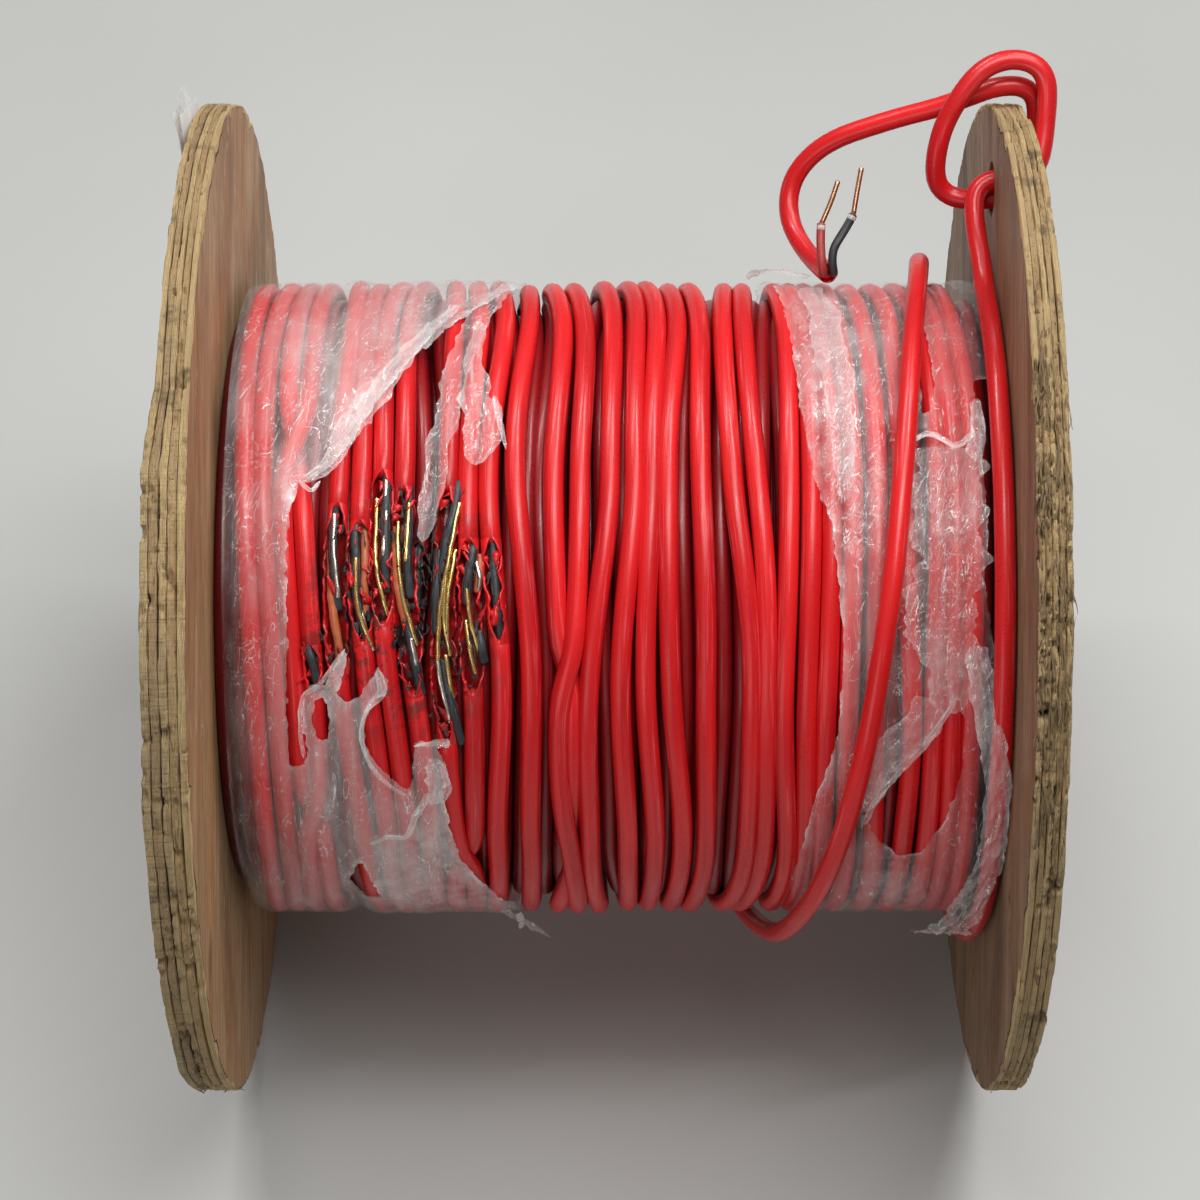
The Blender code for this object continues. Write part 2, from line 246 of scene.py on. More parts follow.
def grid_faces(rows: int, columns: int, closed: bool = False) -> np.ndarray:
    """The quads of a grid of points.

    Args:
        rows: How many rows of points.
        columns: How many points in each row.
        closed: Whether each row runs on from its last point to its first.

    Returns:
        Four corner numbers a face.
    """
    here = np.arange(rows * columns).reshape(rows, columns)
    beyond = np.roll(here, -1, axis=1) if closed else here[:, 1:]
    here = here if closed else here[:, :-1]
    quads = np.stack([here[:-1], beyond[:-1], beyond[1:], here[1:]], axis=-1)
    return quads.reshape(-1, 4)


def joining_faces(rows: int, columns: int) -> np.ndarray:
    """The quads that join the last row of a closed grid to its first."""
    quads = grid_faces(2, columns, closed=True)
    return np.where(quads >= columns, quads - columns, quads + (rows - 1) * columns)


def rings(frames: tuple[np.ndarray, np.ndarray], turn: np.ndarray) -> np.ndarray:
    """The unit vectors that point away from a line.

    Args:
        frames: Two directions across the line at each point.
        turn: The angles round the line, in radians: one row for all points, or one for each.

    Returns:
        One row a point, one column an angle.
    """
    normal, across = frames
    turn = np.atleast_2d(turn)
    return np.cos(turn)[..., None] * normal[:, None] + np.sin(turn)[..., None] * across[:, None]


def stacked(*values: np.ndarray | float) -> np.ndarray:
    """Arrays or numbers that fit one another, side by side along a new last dimension."""
    return np.stack(np.broadcast_arrays(*values), axis=-1)


def directions(line: np.ndarray) -> np.ndarray:
    """The heading of a line at each of its points, as unit vectors."""
    heading = np.gradient(line, axis=0)
    return heading / np.maximum(np.linalg.norm(heading, axis=1, keepdims=True), 1e-12)


def distances(line: np.ndarray) -> np.ndarray:
    """How far along a line each of its points lies."""
    steps = np.linalg.norm(np.diff(line, axis=0), axis=1)
    return np.concatenate([[0.0], np.cumsum(steps)])


def outward_frames(line: np.ndarray) -> tuple[np.ndarray, np.ndarray]:
    """Two directions across a line that is wound on the reel.

    Args:
        line: The line's points.

    Returns:
        The direction away from the reel's axis, and the direction across both it and the line.
    """
    heading = directions(line)
    away = line - np.array([0.0, 0.0, SIZES.axis_height])
    away[:, 0] = 0.0
    away -= (away * heading).sum(1, keepdims=True) * heading
    away /= np.linalg.norm(away, axis=1, keepdims=True)
    return away, np.cross(heading, away)


def carried_frames(line: np.ndarray) -> tuple[np.ndarray, np.ndarray]:
    """Two directions across a line, carried along it without twist.

    Args:
        line: The line's points.

    Returns:
        The two directions at each point.
    """
    heading = directions(line)
    first = np.cross(heading[0], [0.31, 0.17, 0.93])
    first /= np.linalg.norm(first)
    carried = [first]
    for ahead in heading[1:]:
        turned = carried[-1] - carried[-1].dot(ahead) * ahead
        carried.append(turned / np.linalg.norm(turned))
    normal = np.array(carried)
    return normal, np.cross(heading, normal)


def add_tube(
    draft: MeshDraft,
    line: np.ndarray,
    radius: float | np.ndarray,
    frames: tuple[np.ndarray, np.ndarray],
    sides: int = 12,
    mark: float = 0.0,
    finish: int = 0,
    start_along: float = 0.0,
) -> None:
    """Add a round tube with rounded ends.

    Args:
        draft: The piece that it is part of.
        line: The points of its centreline.
        radius: Its radius, the same all along or one for each point.
        frames: Two directions across the line at each point.
        sides: How many facets go round it.
        mark: A number that tells it from other tubes in its finish.
        finish: Which of the piece's finishes it takes.
        start_along: Where the distance along it starts.
    """
    normal, across = frames
    radius = np.broadcast_to(radius, len(line)).astype(float)
    heading = directions(line)
    shrink = np.array([0.45, 0.85])
    nose = (1 - np.array([0.0, 0.55])) * 0.5
    before = line[:1] - heading[:1] * radius[0] * nose[:, None]
    after = line[-1:] + heading[-1:] * radius[-1] * nose[::-1, None]
    line = np.concatenate([before, line, after])
    radius = np.concatenate([radius[0] * shrink, radius, radius[-1] * shrink[::-1]])
    normal, across = (np.pad(way, ((2, 2), (0, 0)), mode="edge") for way in (normal, across))
    turn = np.linspace(0, 2 * np.pi, sides, endpoint=False)
    points = line[:, None] + radius[:, None, None] * rings((normal, across), turn)
    along = distances(line) + start_along
    lay = stacked(along[:, None], turn[None] / (2 * np.pi), mark)
    rows = len(line)
    tip = np.arange(sides)
    ends = [tip[None, ::-1], (rows - 1) * sides + tip[None]]
    faces = grid_faces(rows, sides, closed=True)
    draft.add(points, [faces, *ends], lay, finish)


def add_ribbon(
    draft: MeshDraft, start: Colour, heading: Colour, size: Colour, seed: int, finish: int = 0
) -> None:
    """Add a thin, pointed ribbon that curls as it goes, such as a shard of jacket or a splinter.

    Args:
        draft: The piece that it is part of.
        start: Its root: place along the axis, radius and angle.
        heading: How far it goes along the axis, outward and round, in millimetres.
        size: Its length, width and thickness in millimetres.
        seed: Which random bends it has.
        finish: Which of the piece's finishes it takes.
    """
    length, width, thick = size
    x, radius, degrees = start
    stations = 9
    share = np.linspace(0, 1, stations)
    bend = lattice_noise(share * 2.5, 0, seed)
    goes = np.array(heading) / np.linalg.norm(heading)
    centre = SIZES.points(
        x + goes[0] * length * share * MM + 0.8 * bend * MM * share,
        radius + (goes[1] * length * share + 0.9 * np.abs(bend) * share) * MM,
        degrees + np.degrees(goes[2] * length * share * MM / radius),
    )
    normal, across = outward_frames(centre)
    twist = 1.3 * share * lattice_noise(np.array([0.5]), np.array([seed * 1.7]), seed + 3)[0]
    spread_way = np.cos(twist)[:, None] * across + np.sin(twist)[:, None] * normal
    face_way = np.cross(directions(centre), spread_way)
    ragged = 0.75 + 0.5 * lattice_noise(share * 5, 3, seed + 9)
    half = width / 2 * MM * (1 - share**1.7) * ragged + 0.00006
    rim = thick / 2 * MM * (1 - 0.5 * share)
    wide, thin = half[:, None] * spread_way, rim[:, None] * face_way
    corners = [centre + wide + thin, centre - wide + thin, centre - wide - thin, centre + wide - thin]
    tip = np.arange(4)
    ends = [tip[None], (4 * (stations - 1) + tip)[None, ::-1]]
    faces = [grid_faces(stations, 4, closed=True)[:, ::-1], *ends]
    draft.add(np.stack(corners, axis=1), faces, None, finish)
PLY_COUNT = 5.0


class Shading:
    """A node material under construction, with the nodes that these finishes are made of."""

    def __init__(self, name: str) -> None:
        """Start a material with one Principled shader.

        Args:
            name: The material's name.
        """
        self.material = bpy.data.materials.new(name)
        self.material.use_nodes = True
        self.nodes = self.material.node_tree.nodes
        self.links = self.material.node_tree.links
        self.shader = self.nodes["Principled BSDF"]
        self.place = self.nodes.new("ShaderNodeTexCoord").outputs["Object"]

    def feed(self, socket: Socket, value: Socket | float | Colour) -> None:
        """Link a socket to another one, or set its value.

        Args:
            socket: The socket.
            value: What it takes.
        """
        if isinstance(value, Socket):
            self.links.new(value, socket)
        elif isinstance(value, tuple) and len(socket.default_value) == 4:
            socket.default_value = (*value, 1.0)
        else:
            socket.default_value = value

    def node(self, kind: str, inputs: dict, **settings: str | bool) -> bpy.types.Node:
        """Add a node.

        Args:
            kind: Its type, without what all shader nodes start with.
            inputs: What its sockets take, by name or number.
            settings: Its other properties.

        Returns:
            The node.
        """
        node = self.nodes.new(f"ShaderNode{kind}")
        for name, value in settings.items():
            setattr(node, name, value)
        for name, value in inputs.items():
            self.feed(node.inputs[name], value)
        return node

    def calc(self, kind: str, *values: Socket | float) -> Socket:
        """The result of a Math node.

        Args:
            kind: Its operation, with a plus sign at the end to keep the result between 0 and 1.
            values: What goes in.

        Returns:
            The result.
        """
        settings = {"operation": kind.rstrip("+"), "use_clamp": kind.endswith("+")}
        return self.node("Math", dict(enumerate(values)), **settings).outputs[0]

    def times(self, first: Socket | float, second: Socket | float) -> Socket:
        """The product of two values."""
        return self.calc("MULTIPLY", first, second)

    def plus(self, first: Socket | float, second: Socket | float, share: float = 1.0) -> Socket:
        """A value with a share of a second one added to it."""
        return self.calc("ADD", first, self.times(second, share))

    def scaled(self, vector: Socket, scale: Colour, turn: Colour = (0.0, 0.0, 0.0)) -> Socket:
        """A vector turned and then stretched.

        Args:
            vector: The vector.
            scale: How far it is stretched each way.
            turn: The angles that it is turned by.

        Returns:
            The new vector.
        """
        turned = self.node("Mapping", {"Vector": vector, "Rotation": turn}, vector_type="POINT")
        stretched = self.node("VectorMath", {0: turned.outputs[0], 1: scale}, operation="MULTIPLY")
        return stretched.outputs[0]

    def noise(
        self, vector: Socket, scale: float | Colour, detail: float, rough: float, warp: float = 0.0
    ) -> Socket:
        """The value of a Noise texture.

        Args:
            vector: Where it is read.
            scale: How fine it is, the same in every direction or one number for each.
            detail: How many layers it has.
            rough: How strong its finer layers are.
            warp: How far it is twisted.

        Returns:
            The value.
        """
        if isinstance(scale, tuple):
            vector, scale = self.scaled(vector, scale), 1.0
        inputs = {"Vector": vector, "Scale": scale, "Detail": detail, "Roughness": rough, "Distortion": warp}
        return self.node("TexNoise", inputs).outputs[0]

    def ramp(self, value: Socket, low: float, high: float, out: Place = (0.0, 1.0)) -> Socket:
        """A value stretched from one range to another and kept within it.

        Args:
            value: The value.
            low: Where its range starts.
            high: Where its range ends.
            out: The new range.

        Returns:
            The new value.
        """
        inputs = {"Value": value, "From Min": low, "From Max": high, "To Min": out[0], "To Max": out[1]}
        return self.node("MapRange", inputs).outputs[0]

    def mixed(self, share: Socket | float, first: Socket | Colour, second: Socket | Colour) -> Socket:
        """Two colours mixed.

        Args:
            share: The second colour's share.
            first: The first colour.
            second: The second colour.

        Returns:
            The mixed colour.
        """
        node = self.node("Mix", {}, data_type="RGBA")
        for number, value in ((0, share), (6, first), (7, second)):
            self.feed(node.inputs[number], value)
        return node.outputs[2]

    def painted(
        self, tone: Socket | Colour, colour: Colour, value: Socket, low: float, high: float, most: float = 1.0
    ) -> Socket:
        """A tone that turns into a colour as a value rises through a range.

        Args:
            tone: The tone.
            colour: The colour.
            value: The value.
            low: Where its range starts.
            high: Where its range ends.
            most: The colour's share at the end of the range.

        Returns:
            The new tone.
        """
        return self.mixed(self.times(self.ramp(value, low, high), most), tone, colour)

    def parts(self, vector: Socket) -> tuple[Socket, Socket, Socket]:
        """The x, y and z of a vector."""
        outputs = self.node("SeparateXYZ", {0: vector}).outputs
        return outputs[0], outputs[1], outputs[2]

    def lay(self) -> tuple[Socket, Socket, Socket]:
        """The three values that a piece's mesh keeps at each point."""
        return self.parts(self.node("Attribute", {}, attribute_name="lay").outputs["Vector"])

    def vector(self, *parts: Socket | float) -> Socket:
        """A vector from its x, y and z."""
        return self.node("CombineXYZ", dict(enumerate(parts))).outputs[0]

    def bump(self, height: Socket, depth: float, strength: float) -> None:
        """Roughen the surface.

        Args:
            height: How high each place lies.
            depth: How far apart the lowest and highest places are, in metres.
            strength: How much of it shows.
        """
        inputs = {"Distance": depth, "Strength": strength, "Height": height}
        self.feed(self.shader.inputs["Normal"], self.node("Bump", inputs).outputs[0])

    def done(self, colour: Socket | Colour, roughness: Socket | float, **more: float) -> Material:
        """Set the shader's inputs.

        Args:
            colour: Its colour.
            roughness: Its roughness.
            more: Its other inputs.

        Returns:
            The material.
        """
        self.feed(self.shader.inputs["Base Color"], colour)
        self.feed(self.shader.inputs["Roughness"], roughness)
        for name, value in more.items():
            self.feed(self.shader.inputs[name.replace("_", " ")], value)
        return self.material


@dataclass(frozen=True)
class JacketFinish:
    """Red vinyl cable jacket: waxy, faintly ribbed, dusty in places, scuffed along its length, and painted
    with shade where it lies deep in the winding.
    """

    name: str = "red_vinyl"
    red: Colour = (0.70, 0.013, 0.015)
    deep: Colour = (0.42, 0.004, 0.007)
    # Painted shade: the hollow colour darkens the jacket deep in the winding, where shade falls between and
    # under the turns.
    hollow: Colour = (0.09, 0.001, 0.003)
    dusty: Colour = (0.86, 0.20, 0.22)
    painted_shade_radius: Place = (0.1208, 0.1278)
    soot: Colour = (0.030, 0.018, 0.016)
    burnt_x: float = -0.078
    burnt_degrees: float = 48.0
    burnt_reach: Place = (0.046, 26.0)
    girth: float = 0.024

    def places(self, look: Shading) -> tuple[Socket, Socket, Socket]:
        """Where each point lies on the reel.

        Args:
            look: The material.

        Returns:
            Its place along the axis, its radius and its angle in radians.
        """
        x, y, z = look.parts(look.place)
        raised = look.calc("SUBTRACT", z, SIZES.axis_height)
        radius = look.calc("SQRT", look.plus(look.times(y, y), look.times(raised, raised)))
        return x, radius, look.calc("ARCTAN2", raised, look.times(y, -1.0))

    def burn(self, look: Shading, x: Socket, angle: Socket) -> Socket:
        """How sooty the jacket is, by how near it lies to the middle of the torn stretch.

        Args:
            look: The material.
            x: Each point's place along the axis.
            angle: Its angle round the axis.

        Returns:
            The share of soot.
        """
        reach_x, reach_degrees = self.burnt_reach
        off_x = look.calc("DIVIDE", look.calc("SUBTRACT", x, self.burnt_x), reach_x)
        turned = look.calc("SUBTRACT", angle, math.radians(self.burnt_degrees))
        off_angle = look.calc("DIVIDE", turned, math.radians(reach_degrees))
        near = look.ramp(look.plus(look.times(off_x, off_x), look.times(off_angle, off_angle)), 1.0, 0.15)
        specks = look.ramp(look.noise(look.place, 310.0, 5.0, 0.7), 0.53, 0.60)
        patches = look.ramp(look.noise(look.place, 75.0, 3.0, 0.6), 0.52, 0.60)
        blotch = look.times(look.times(specks, near), 0.75)
        return look.calc("MAXIMUM", blotch, look.times(patches, near))

    def material(self) -> Material:
        """Build the material.

        Returns:
            The material.
        """
        look = Shading(self.name)
        along, turn, strand = look.lay()
        x, radius, angle = self.places(look)
        lengthwise = look.vector(along, look.times(turn, self.girth), strand)
        streaks = look.noise(lengthwise, (22.0, 520.0, 1.7), 3.0, 0.6)
        patches = look.noise(lengthwise, (9.0, 60.0, 3.1), 2.0, 0.5)
        ribs = look.noise(lengthwise, (60.0, 260.0, 1.0), 2.0, 0.5)
        specks = look.noise(look.place, 900.0, 2.0, 0.6)
        tone = look.painted(self.red, self.deep, patches, 0.30, 0.75)
        tone = look.painted(tone, self.dusty, streaks, 0.58, 0.76, 0.42)
        # Painted shade: below the painted shade radius the jacket turns to the near-black hollow colour.
        low, high = self.painted_shade_radius
        tone = look.mixed(look.ramp(radius, low, high, (1.0, 0.0)), tone, self.hollow)
        tone = look.mixed(self.burn(look, x, angle), tone, self.soot)
        gloss = look.ramp(look.plus(streaks, specks), 0.7, 1.4, (0.24, 0.46))
        look.bump(look.plus(ribs, specks, 0.20), 0.00022, 0.45)
        return look.done(tone, gloss, IOR=1.42, Coat_Weight=0.08, Coat_Roughness=0.10)


@dataclass(frozen=True)
class InsulationFinish:
    """Conductor insulation: smooth plastic with scrapes and grime."""

    name: str
    body: Colour
    scraped: Colour
    gloss: float = 0.38
    girth: float = 0.011

    def material(self) -> Material:
        """Build the material.

        Returns:
            The material.
        """
        look = Shading(self.name)
        along, turn, _ = look.lay()
        lengthwise = look.vector(along, look.times(turn, self.girth), 0.0)
        scrapes = look.noise(lengthwise, (70.0, 900.0, 1.0), 4.0, 0.65)
        grime = look.noise(look.place, 420.0, 4.0, 0.6)
        dark = tuple(value * 0.35 for value in self.body)
        tone = look.painted(self.body, self.scraped, scrapes, 0.52, 0.72)
        tone = look.painted(tone, dark, grime, 0.55, 0.75)
        look.bump(look.plus(scrapes, grime), 0.00012, 0.6)
        return look.done(tone, look.ramp(grime, 0.3, 0.8, (self.gloss, self.gloss + 0.25)))


@dataclass(frozen=True)
class BareMetalFinish:
    """Bare wire: drawn metal with die lines, dull in patches."""

    name: str
    bright: Colour
    dull: Colour
    roughness: float = 0.22
    girth: float = 0.0065

    def material(self) -> Material:
        """Build the material.

        Returns:
            The material.
        """
        look = Shading(self.name)
        along, turn, _ = look.lay()
        lengthwise = look.vector(along, look.times(turn, self.girth), 0.0)
        lines = look.noise(lengthwise, (40.0, 2600.0, 1.0), 3.0, 0.6)
        patches = look.noise(look.place, 260.0, 4.0, 0.6)
        tone = look.painted(self.bright, self.dull, patches, 0.42, 0.66)
        look.bump(lines, 0.00006, 0.7)
        rough = look.ramp(patches, 0.35, 0.7, (self.roughness, self.roughness + 0.22))
        return look.done(tone, rough, Metallic=1.0)


@dataclass(frozen=True)
class FilmFinish:
    """Clear stretch film: see-through where it lies smooth, milky where it is gathered or torn, with painted
    glints as thin white lines.
    """

    name: str = "stretch_film"
    milk: Colour = (0.80, 0.74, 0.73)
    white: Colour = (0.92, 0.90, 0.89)
    clearest: float = 0.06
    painted_glint_width: float = 0.009

    def painted_glints(self, look: Shading, scale: Colour, turn: Colour, warp: float) -> Socket:
        """Painted glints: thin bright lines on the middle line of a stretched and twisted noise, standing in
        for highlights on creases.

        Args:
            look: The material.
            scale: How fine the noise is each way.
            turn: The angles that it is turned by.
            warp: How far it is twisted.

        Returns:
            How strong the painted glint is at each place.
        """
        pulled = look.noise(look.scaled(look.place, scale, turn), 1.0, 3.0, 0.55, warp)
        off = look.calc("ABSOLUTE", look.calc("SUBTRACT", pulled, 0.5))
        return look.ramp(off, self.painted_glint_width, 0.0)

    def material(self) -> Material:
        """Build the material from how gathered, milky and crumpled each point is.

        Returns:
            The material.
        """
        look = Shading(self.name)
        gather, milk, crumpled = look.lay()
        slanted = look.scaled(look.place, (210.0, 38.0, 38.0), (0.0, 0.0, 0.45))
        pulled = look.noise(slanted, 1.0, 5.0, 0.62, 0.7)
        crush = look.noise(look.place, 130.0, 4.0, 0.6, 1.0)
        along = self.painted_glints(look, (190.0, 42.0, 42.0), (0.0, 0.0, 0.30), 0.8)
        crossed = self.painted_glints(look, (75.0, 120.0, 120.0), (0.5, 0.4, 0.0), 1.6)
        patches = look.ramp(look.noise(look.place, 42.0, 3.0, 0.6), 0.46, 0.60)
        # Painted highlights: the glint lines make the film more opaque and whiter.
        lines = look.calc("MAXIMUM", along, look.times(crossed, patches))
        lines = look.calc("MULTIPLY+", lines, look.ramp(crumpled, 0.1, 1.0, (0.50, 1.0)))
        haze = look.ramp(look.noise(look.place, 26.0, 3.0, 0.6), 0.38, 0.70)
        veil = look.plus(self.clearest, haze, 0.10)
        veil = look.plus(veil, milk, 0.30)
        veil = look.plus(veil, lines, 0.72)
        veil = look.calc("ADD+", veil, look.times(gather, 0.42))
        facing = look.node("LayerWeight", {"Blend": 0.25}).outputs["Facing"]
        veil = look.calc("ADD+", veil, look.times(facing, 0.14))
        # The film whitens where it is gathered, and where the painted glints are.
        tint = look.mixed(look.calc("MAXIMUM", gather, lines), self.milk, self.white)
        look.bump(look.plus(look.plus(pulled, crush, 0.7), lines, 0.20), 0.0010, 0.8)
        look.feed(look.shader.inputs["Alpha"], veil)
        rough = look.ramp(haze, 0.0, 1.0, (0.06, 0.16))
        return look.done(tint, rough, IOR=1.6, Coat_Weight=0.8, Coat_Roughness=0.04)


@dataclass(frozen=True)
class VeneerFinish:
    """Face veneer of plywood: long wavy grain, pores, knots, scuffs and stains."""

    name: str
    pale: Colour
    tan: Colour
    brown: Colour
    grain_turn: float
    bow: float
    scuff: float
    rubbed: Colour = (0.66, 0.56, 0.43)
    amber_of_tan: Colour = (1.12, 0.86, 0.62)

    def material(self) -> Material:
        """Build the material.

        Returns:
            The material.
        """
        look = Shading(self.name)
        turned = look.scaled(look.place, (1.0, 1.0, 1.0), (math.radians(self.grain_turn), 0.0, 0.0))
        sway = look.noise(turned, (0.0, 12.0, 5.5), 3.0, 0.55)
        x, across, along = look.parts(turned)
        grain = look.vector(x, look.plus(across, sway, 0.065 * self.bow), along)
        bands = look.noise(grain, (0.0, 46.0, 3.6), 4.0, 0.6, 0.5)
        fine = look.noise(grain, (0.0, 420.0, 14.0), 5.0, 0.68)
        pores = look.noise(grain, (0.0, 1300.0, 60.0), 2.0, 0.5)
        blotch = look.noise(turned, (0.0, 24.0, 11.0), 4.0, 0.6, 0.4)
        stain = look.noise(turned, (0.0, 15.0, 6.0), 5.0, 0.65, 0.5)
        scuffs = look.noise(turned, (0.0, 60.0, 30.0), 5.0, 0.72, 0.8)
        knots = look.node("TexVoronoi", {"Scale": 1.0, "Vector": look.scaled(turned, (0.0, 17.0, 9.0))})
        amber = tuple(value * share for value, share in zip(self.tan, self.amber_of_tan))
        dark = tuple(value * 0.35 for value in self.brown)
        tone = look.painted(self.pale, self.tan, bands, 0.38, 0.60)
        tone = look.painted(tone, amber, blotch, 0.46, 0.62, 0.75)
        tone = look.painted(tone, self.brown, fine, 0.47, 0.66, 0.60)
        tone = look.painted(tone, dark, pores, 0.57, 0.68, 0.60)
        tone = look.painted(tone, self.brown, stain, 0.50, 0.64, 0.60)
        tone = look.painted(tone, self.brown, knots.outputs["Distance"], 0.13, 0.04, 0.65)
        tone = look.painted(tone, self.rubbed, scuffs, 0.60, 0.72, self.scuff)
        look.bump(look.plus(look.plus(fine, pores, -0.6), bands, 0.6), 0.0009, 0.8)
        return look.done(tone, look.ramp(fine, 0.3, 0.7, (0.45, 0.70)), IOR=1.45)


@dataclass(frozen=True)
class PlyEdgeFinish:
    """Sawn edge of plywood: cream and tan plies by turns, dark glue lines, weathered grey, and painted shade,
    darker in deep chips and towards the bottom of the rim.
    """

    name: str = "ply_edge"
    cream: Colour = (0.72, 0.52, 0.25)
    tan: Colour = (0.42, 0.25, 0.12)
    glue: Colour = (0.045, 0.024, 0.014)
    grey: Colour = (0.20, 0.165, 0.125)
    # The rot colour serves for real stains, saw marks and pits, and for painted shade in deep chips.
    rot_and_shade: Colour = (0.035, 0.022, 0.014)
    orange: Colour = (0.60, 0.30, 0.10)

    def material(self) -> Material:
        """Build the material from the ply that each point belongs to and how worn and shaded it is.

        Returns:
            The material.
        """
        look = Shading(self.name)
        depth, wear_and_shade, round_rim = look.lay()
        # Each noise: its scale through the thickness, its scale round the rim, its place, its detail.
        noises = []
        for through, along, place, detail in (
            (26.0, 70.0, 0.0, 5.0), (60.0, 26.0, 5.0, 4.0), (0.8, 850.0, 3.0, 2.0),
            (16.0, 420.0, 7.0, 3.0), (0.7, 22.0, 9.0, 3.0),
        ):  # fmt: skip
            scaled = look.vector(look.times(depth, through), look.times(round_rim, along), place)
            noises.append(look.noise(scaled, 1.0, detail, 0.65))
        fibres, strands, saw, pits, wander = noises
        weather = look.noise(look.place, 16.0, 5.0, 0.7)
        stain = look.noise(look.place, 60.0, 5.0, 0.7)
        shifted = look.plus(depth, wander, 0.05)
        ply = look.times(look.calc("SUBTRACT", shifted, 0.025), PLY_COUNT)
        odd = look.calc("MODULO", look.calc("FLOOR", ply), 2.0)
        tone = look.mixed(look.calc("MULTIPLY+", odd, 0.5), self.cream, self.tan)
        tone = look.painted(tone, self.tan, strands, 0.44, 0.66, 0.7)
        tone = look.painted(tone, self.orange, fibres, 0.56, 0.70, 0.4)
        # The grey follows the wear and painted shade, so the rim greys towards the bottom.
        grey = look.calc("MULTIPLY+", look.ramp(weather, 0.36, 0.62), wear_and_shade)
        tone = look.mixed(look.times(grey, 0.80), tone, self.grey)
        marks = look.times(look.ramp(saw, 0.54, 0.62), look.ramp(wear_and_shade, 0.1, 0.6))
        tone = look.mixed(look.times(marks, 0.42), tone, self.rot_and_shade)
        speck = look.times(look.ramp(pits, 0.60, 0.68), odd)
        tone = look.mixed(look.times(speck, 0.75), tone, self.rot_and_shade)
        line = look.calc("ABSOLUTE", look.calc("SUBTRACT", look.calc("FRACT", ply), 0.5))
        gap = look.times(look.ramp(line, 0.44, 0.48), look.ramp(strands, 0.38, 0.52))
        tone = look.mixed(look.times(gap, 0.92), tone, self.glue)
        tone = look.painted(tone, self.rot_and_shade, stain, 0.56, 0.68, 0.6)
        # Painted shade: deep chips and cracks turn dark.
        tone = look.painted(tone, self.rot_and_shade, wear_and_shade, 1.0, 2.0)
        height = look.plus(look.plus(fibres, saw, 0.5), strands, 1.2)
        look.bump(look.plus(height, gap, -1.2), 0.0014, 1.0)
        return look.done(tone, look.ramp(fibres, 0.3, 0.7, (0.66, 0.88)), IOR=1.45)


@dataclass(frozen=True)
class SpeckledFinish:
    """A plain material with specks and patches: fibre board, paper, char and the like."""

    name: str
    body: Colour
    patch: Colour
    speck: Colour
    roughness: float
    metallic: float = 0.0
    grain: float = 600.0
    depth: float = 0.0003
    patch_size: float = 14.0

    def material(self) -> Material:
        """Build the material.

        Returns:
            The material.
        """
        look = Shading(self.name)
        patches = look.noise(look.place, self.grain / self.patch_size, 4.0, 0.6)
        specks = look.noise(look.place, self.grain, 4.0, 0.65)
        tone = look.painted(self.body, self.patch, patches, 0.38, 0.66)
        tone = look.painted(tone, self.speck, specks, 0.56, 0.72, 0.6)
        look.bump(look.plus(specks, patches), self.depth, 0.7)
        rough = look.ramp(patches, 0.3, 0.7, (self.roughness - 0.07, self.roughness + 0.09))
        return look.done(tone, rough, Metallic=self.metallic)


RED_JACKET = JacketFinish().material()
RED_INSULATION = InsulationFinish("red_insulation", (0.30, 0.030, 0.028), (0.52, 0.14, 0.12)).material()
ORANGE_INSULATION = InsulationFinish(
    "scorched_insulation", (0.42, 0.095, 0.035), (0.60, 0.25, 0.12)
).material()
BLACK_INSULATION = InsulationFinish("black_insulation", (0.020, 0.022, 0.026), (0.15, 0.16, 0.17)).material()
CUT_INSULATION = InsulationFinish("cut_insulation", (0.50, 0.40, 0.38), (0.75, 0.70, 0.68)).material()
COPPER = BareMetalFinish("copper", (0.80, 0.42, 0.25), (0.42, 0.20, 0.11)).material()
GOLDEN_WIRE = BareMetalFinish("golden_wire", (0.95, 0.72, 0.30), (0.55, 0.33, 0.10), 0.17).material()
SILVER_WIRE = BareMetalFinish("silver_wire", (0.92, 0.90, 0.84), (0.48, 0.44, 0.38), 0.17).material()
STRETCH_FILM = FilmFinish().material()
LEFT_VENEER = VeneerFinish(
    "left_veneer", (0.55, 0.375, 0.205), (0.42, 0.262, 0.130), (0.16, 0.080, 0.032), 50.0, 0.4, 0.8
).material()
# The right veneer is a darker copy of the left one: painted shade, as the right flange's inner face lies away
# from the light.
RIGHT_VENEER = VeneerFinish(
    "right_veneer", (0.36, 0.245, 0.145), (0.25, 0.158, 0.088), (0.09, 0.052, 0.027), 47.0, 1.1, 0.25
).material()
PLY_EDGE = PlyEdgeFinish().material()
FIBRE = SpeckledFinish(
    "fibre_board", (0.40, 0.29, 0.19), (0.33, 0.23, 0.15), (0.22, 0.15, 0.09), 0.85
).material()
ZINC = SpeckledFinish(
    "zinc_plate", (0.60, 0.60, 0.58), (0.45, 0.45, 0.44), (0.30, 0.26, 0.22), 0.36, 1.0, 900.0, 0.00008
).material()
LABEL_PAPER = SpeckledFinish(
    "label_paper", (0.84, 0.84, 0.83), (0.76, 0.76, 0.75), (0.66, 0.65, 0.63), 0.62, 0.0, 1500.0, 0.00005
).material()
CHAR = SpeckledFinish(
    "char", (0.018, 0.016, 0.016), (0.045, 0.038, 0.034), (0.16, 0.14, 0.13), 0.70, 0.0, 1400.0, 0.0006
).material()


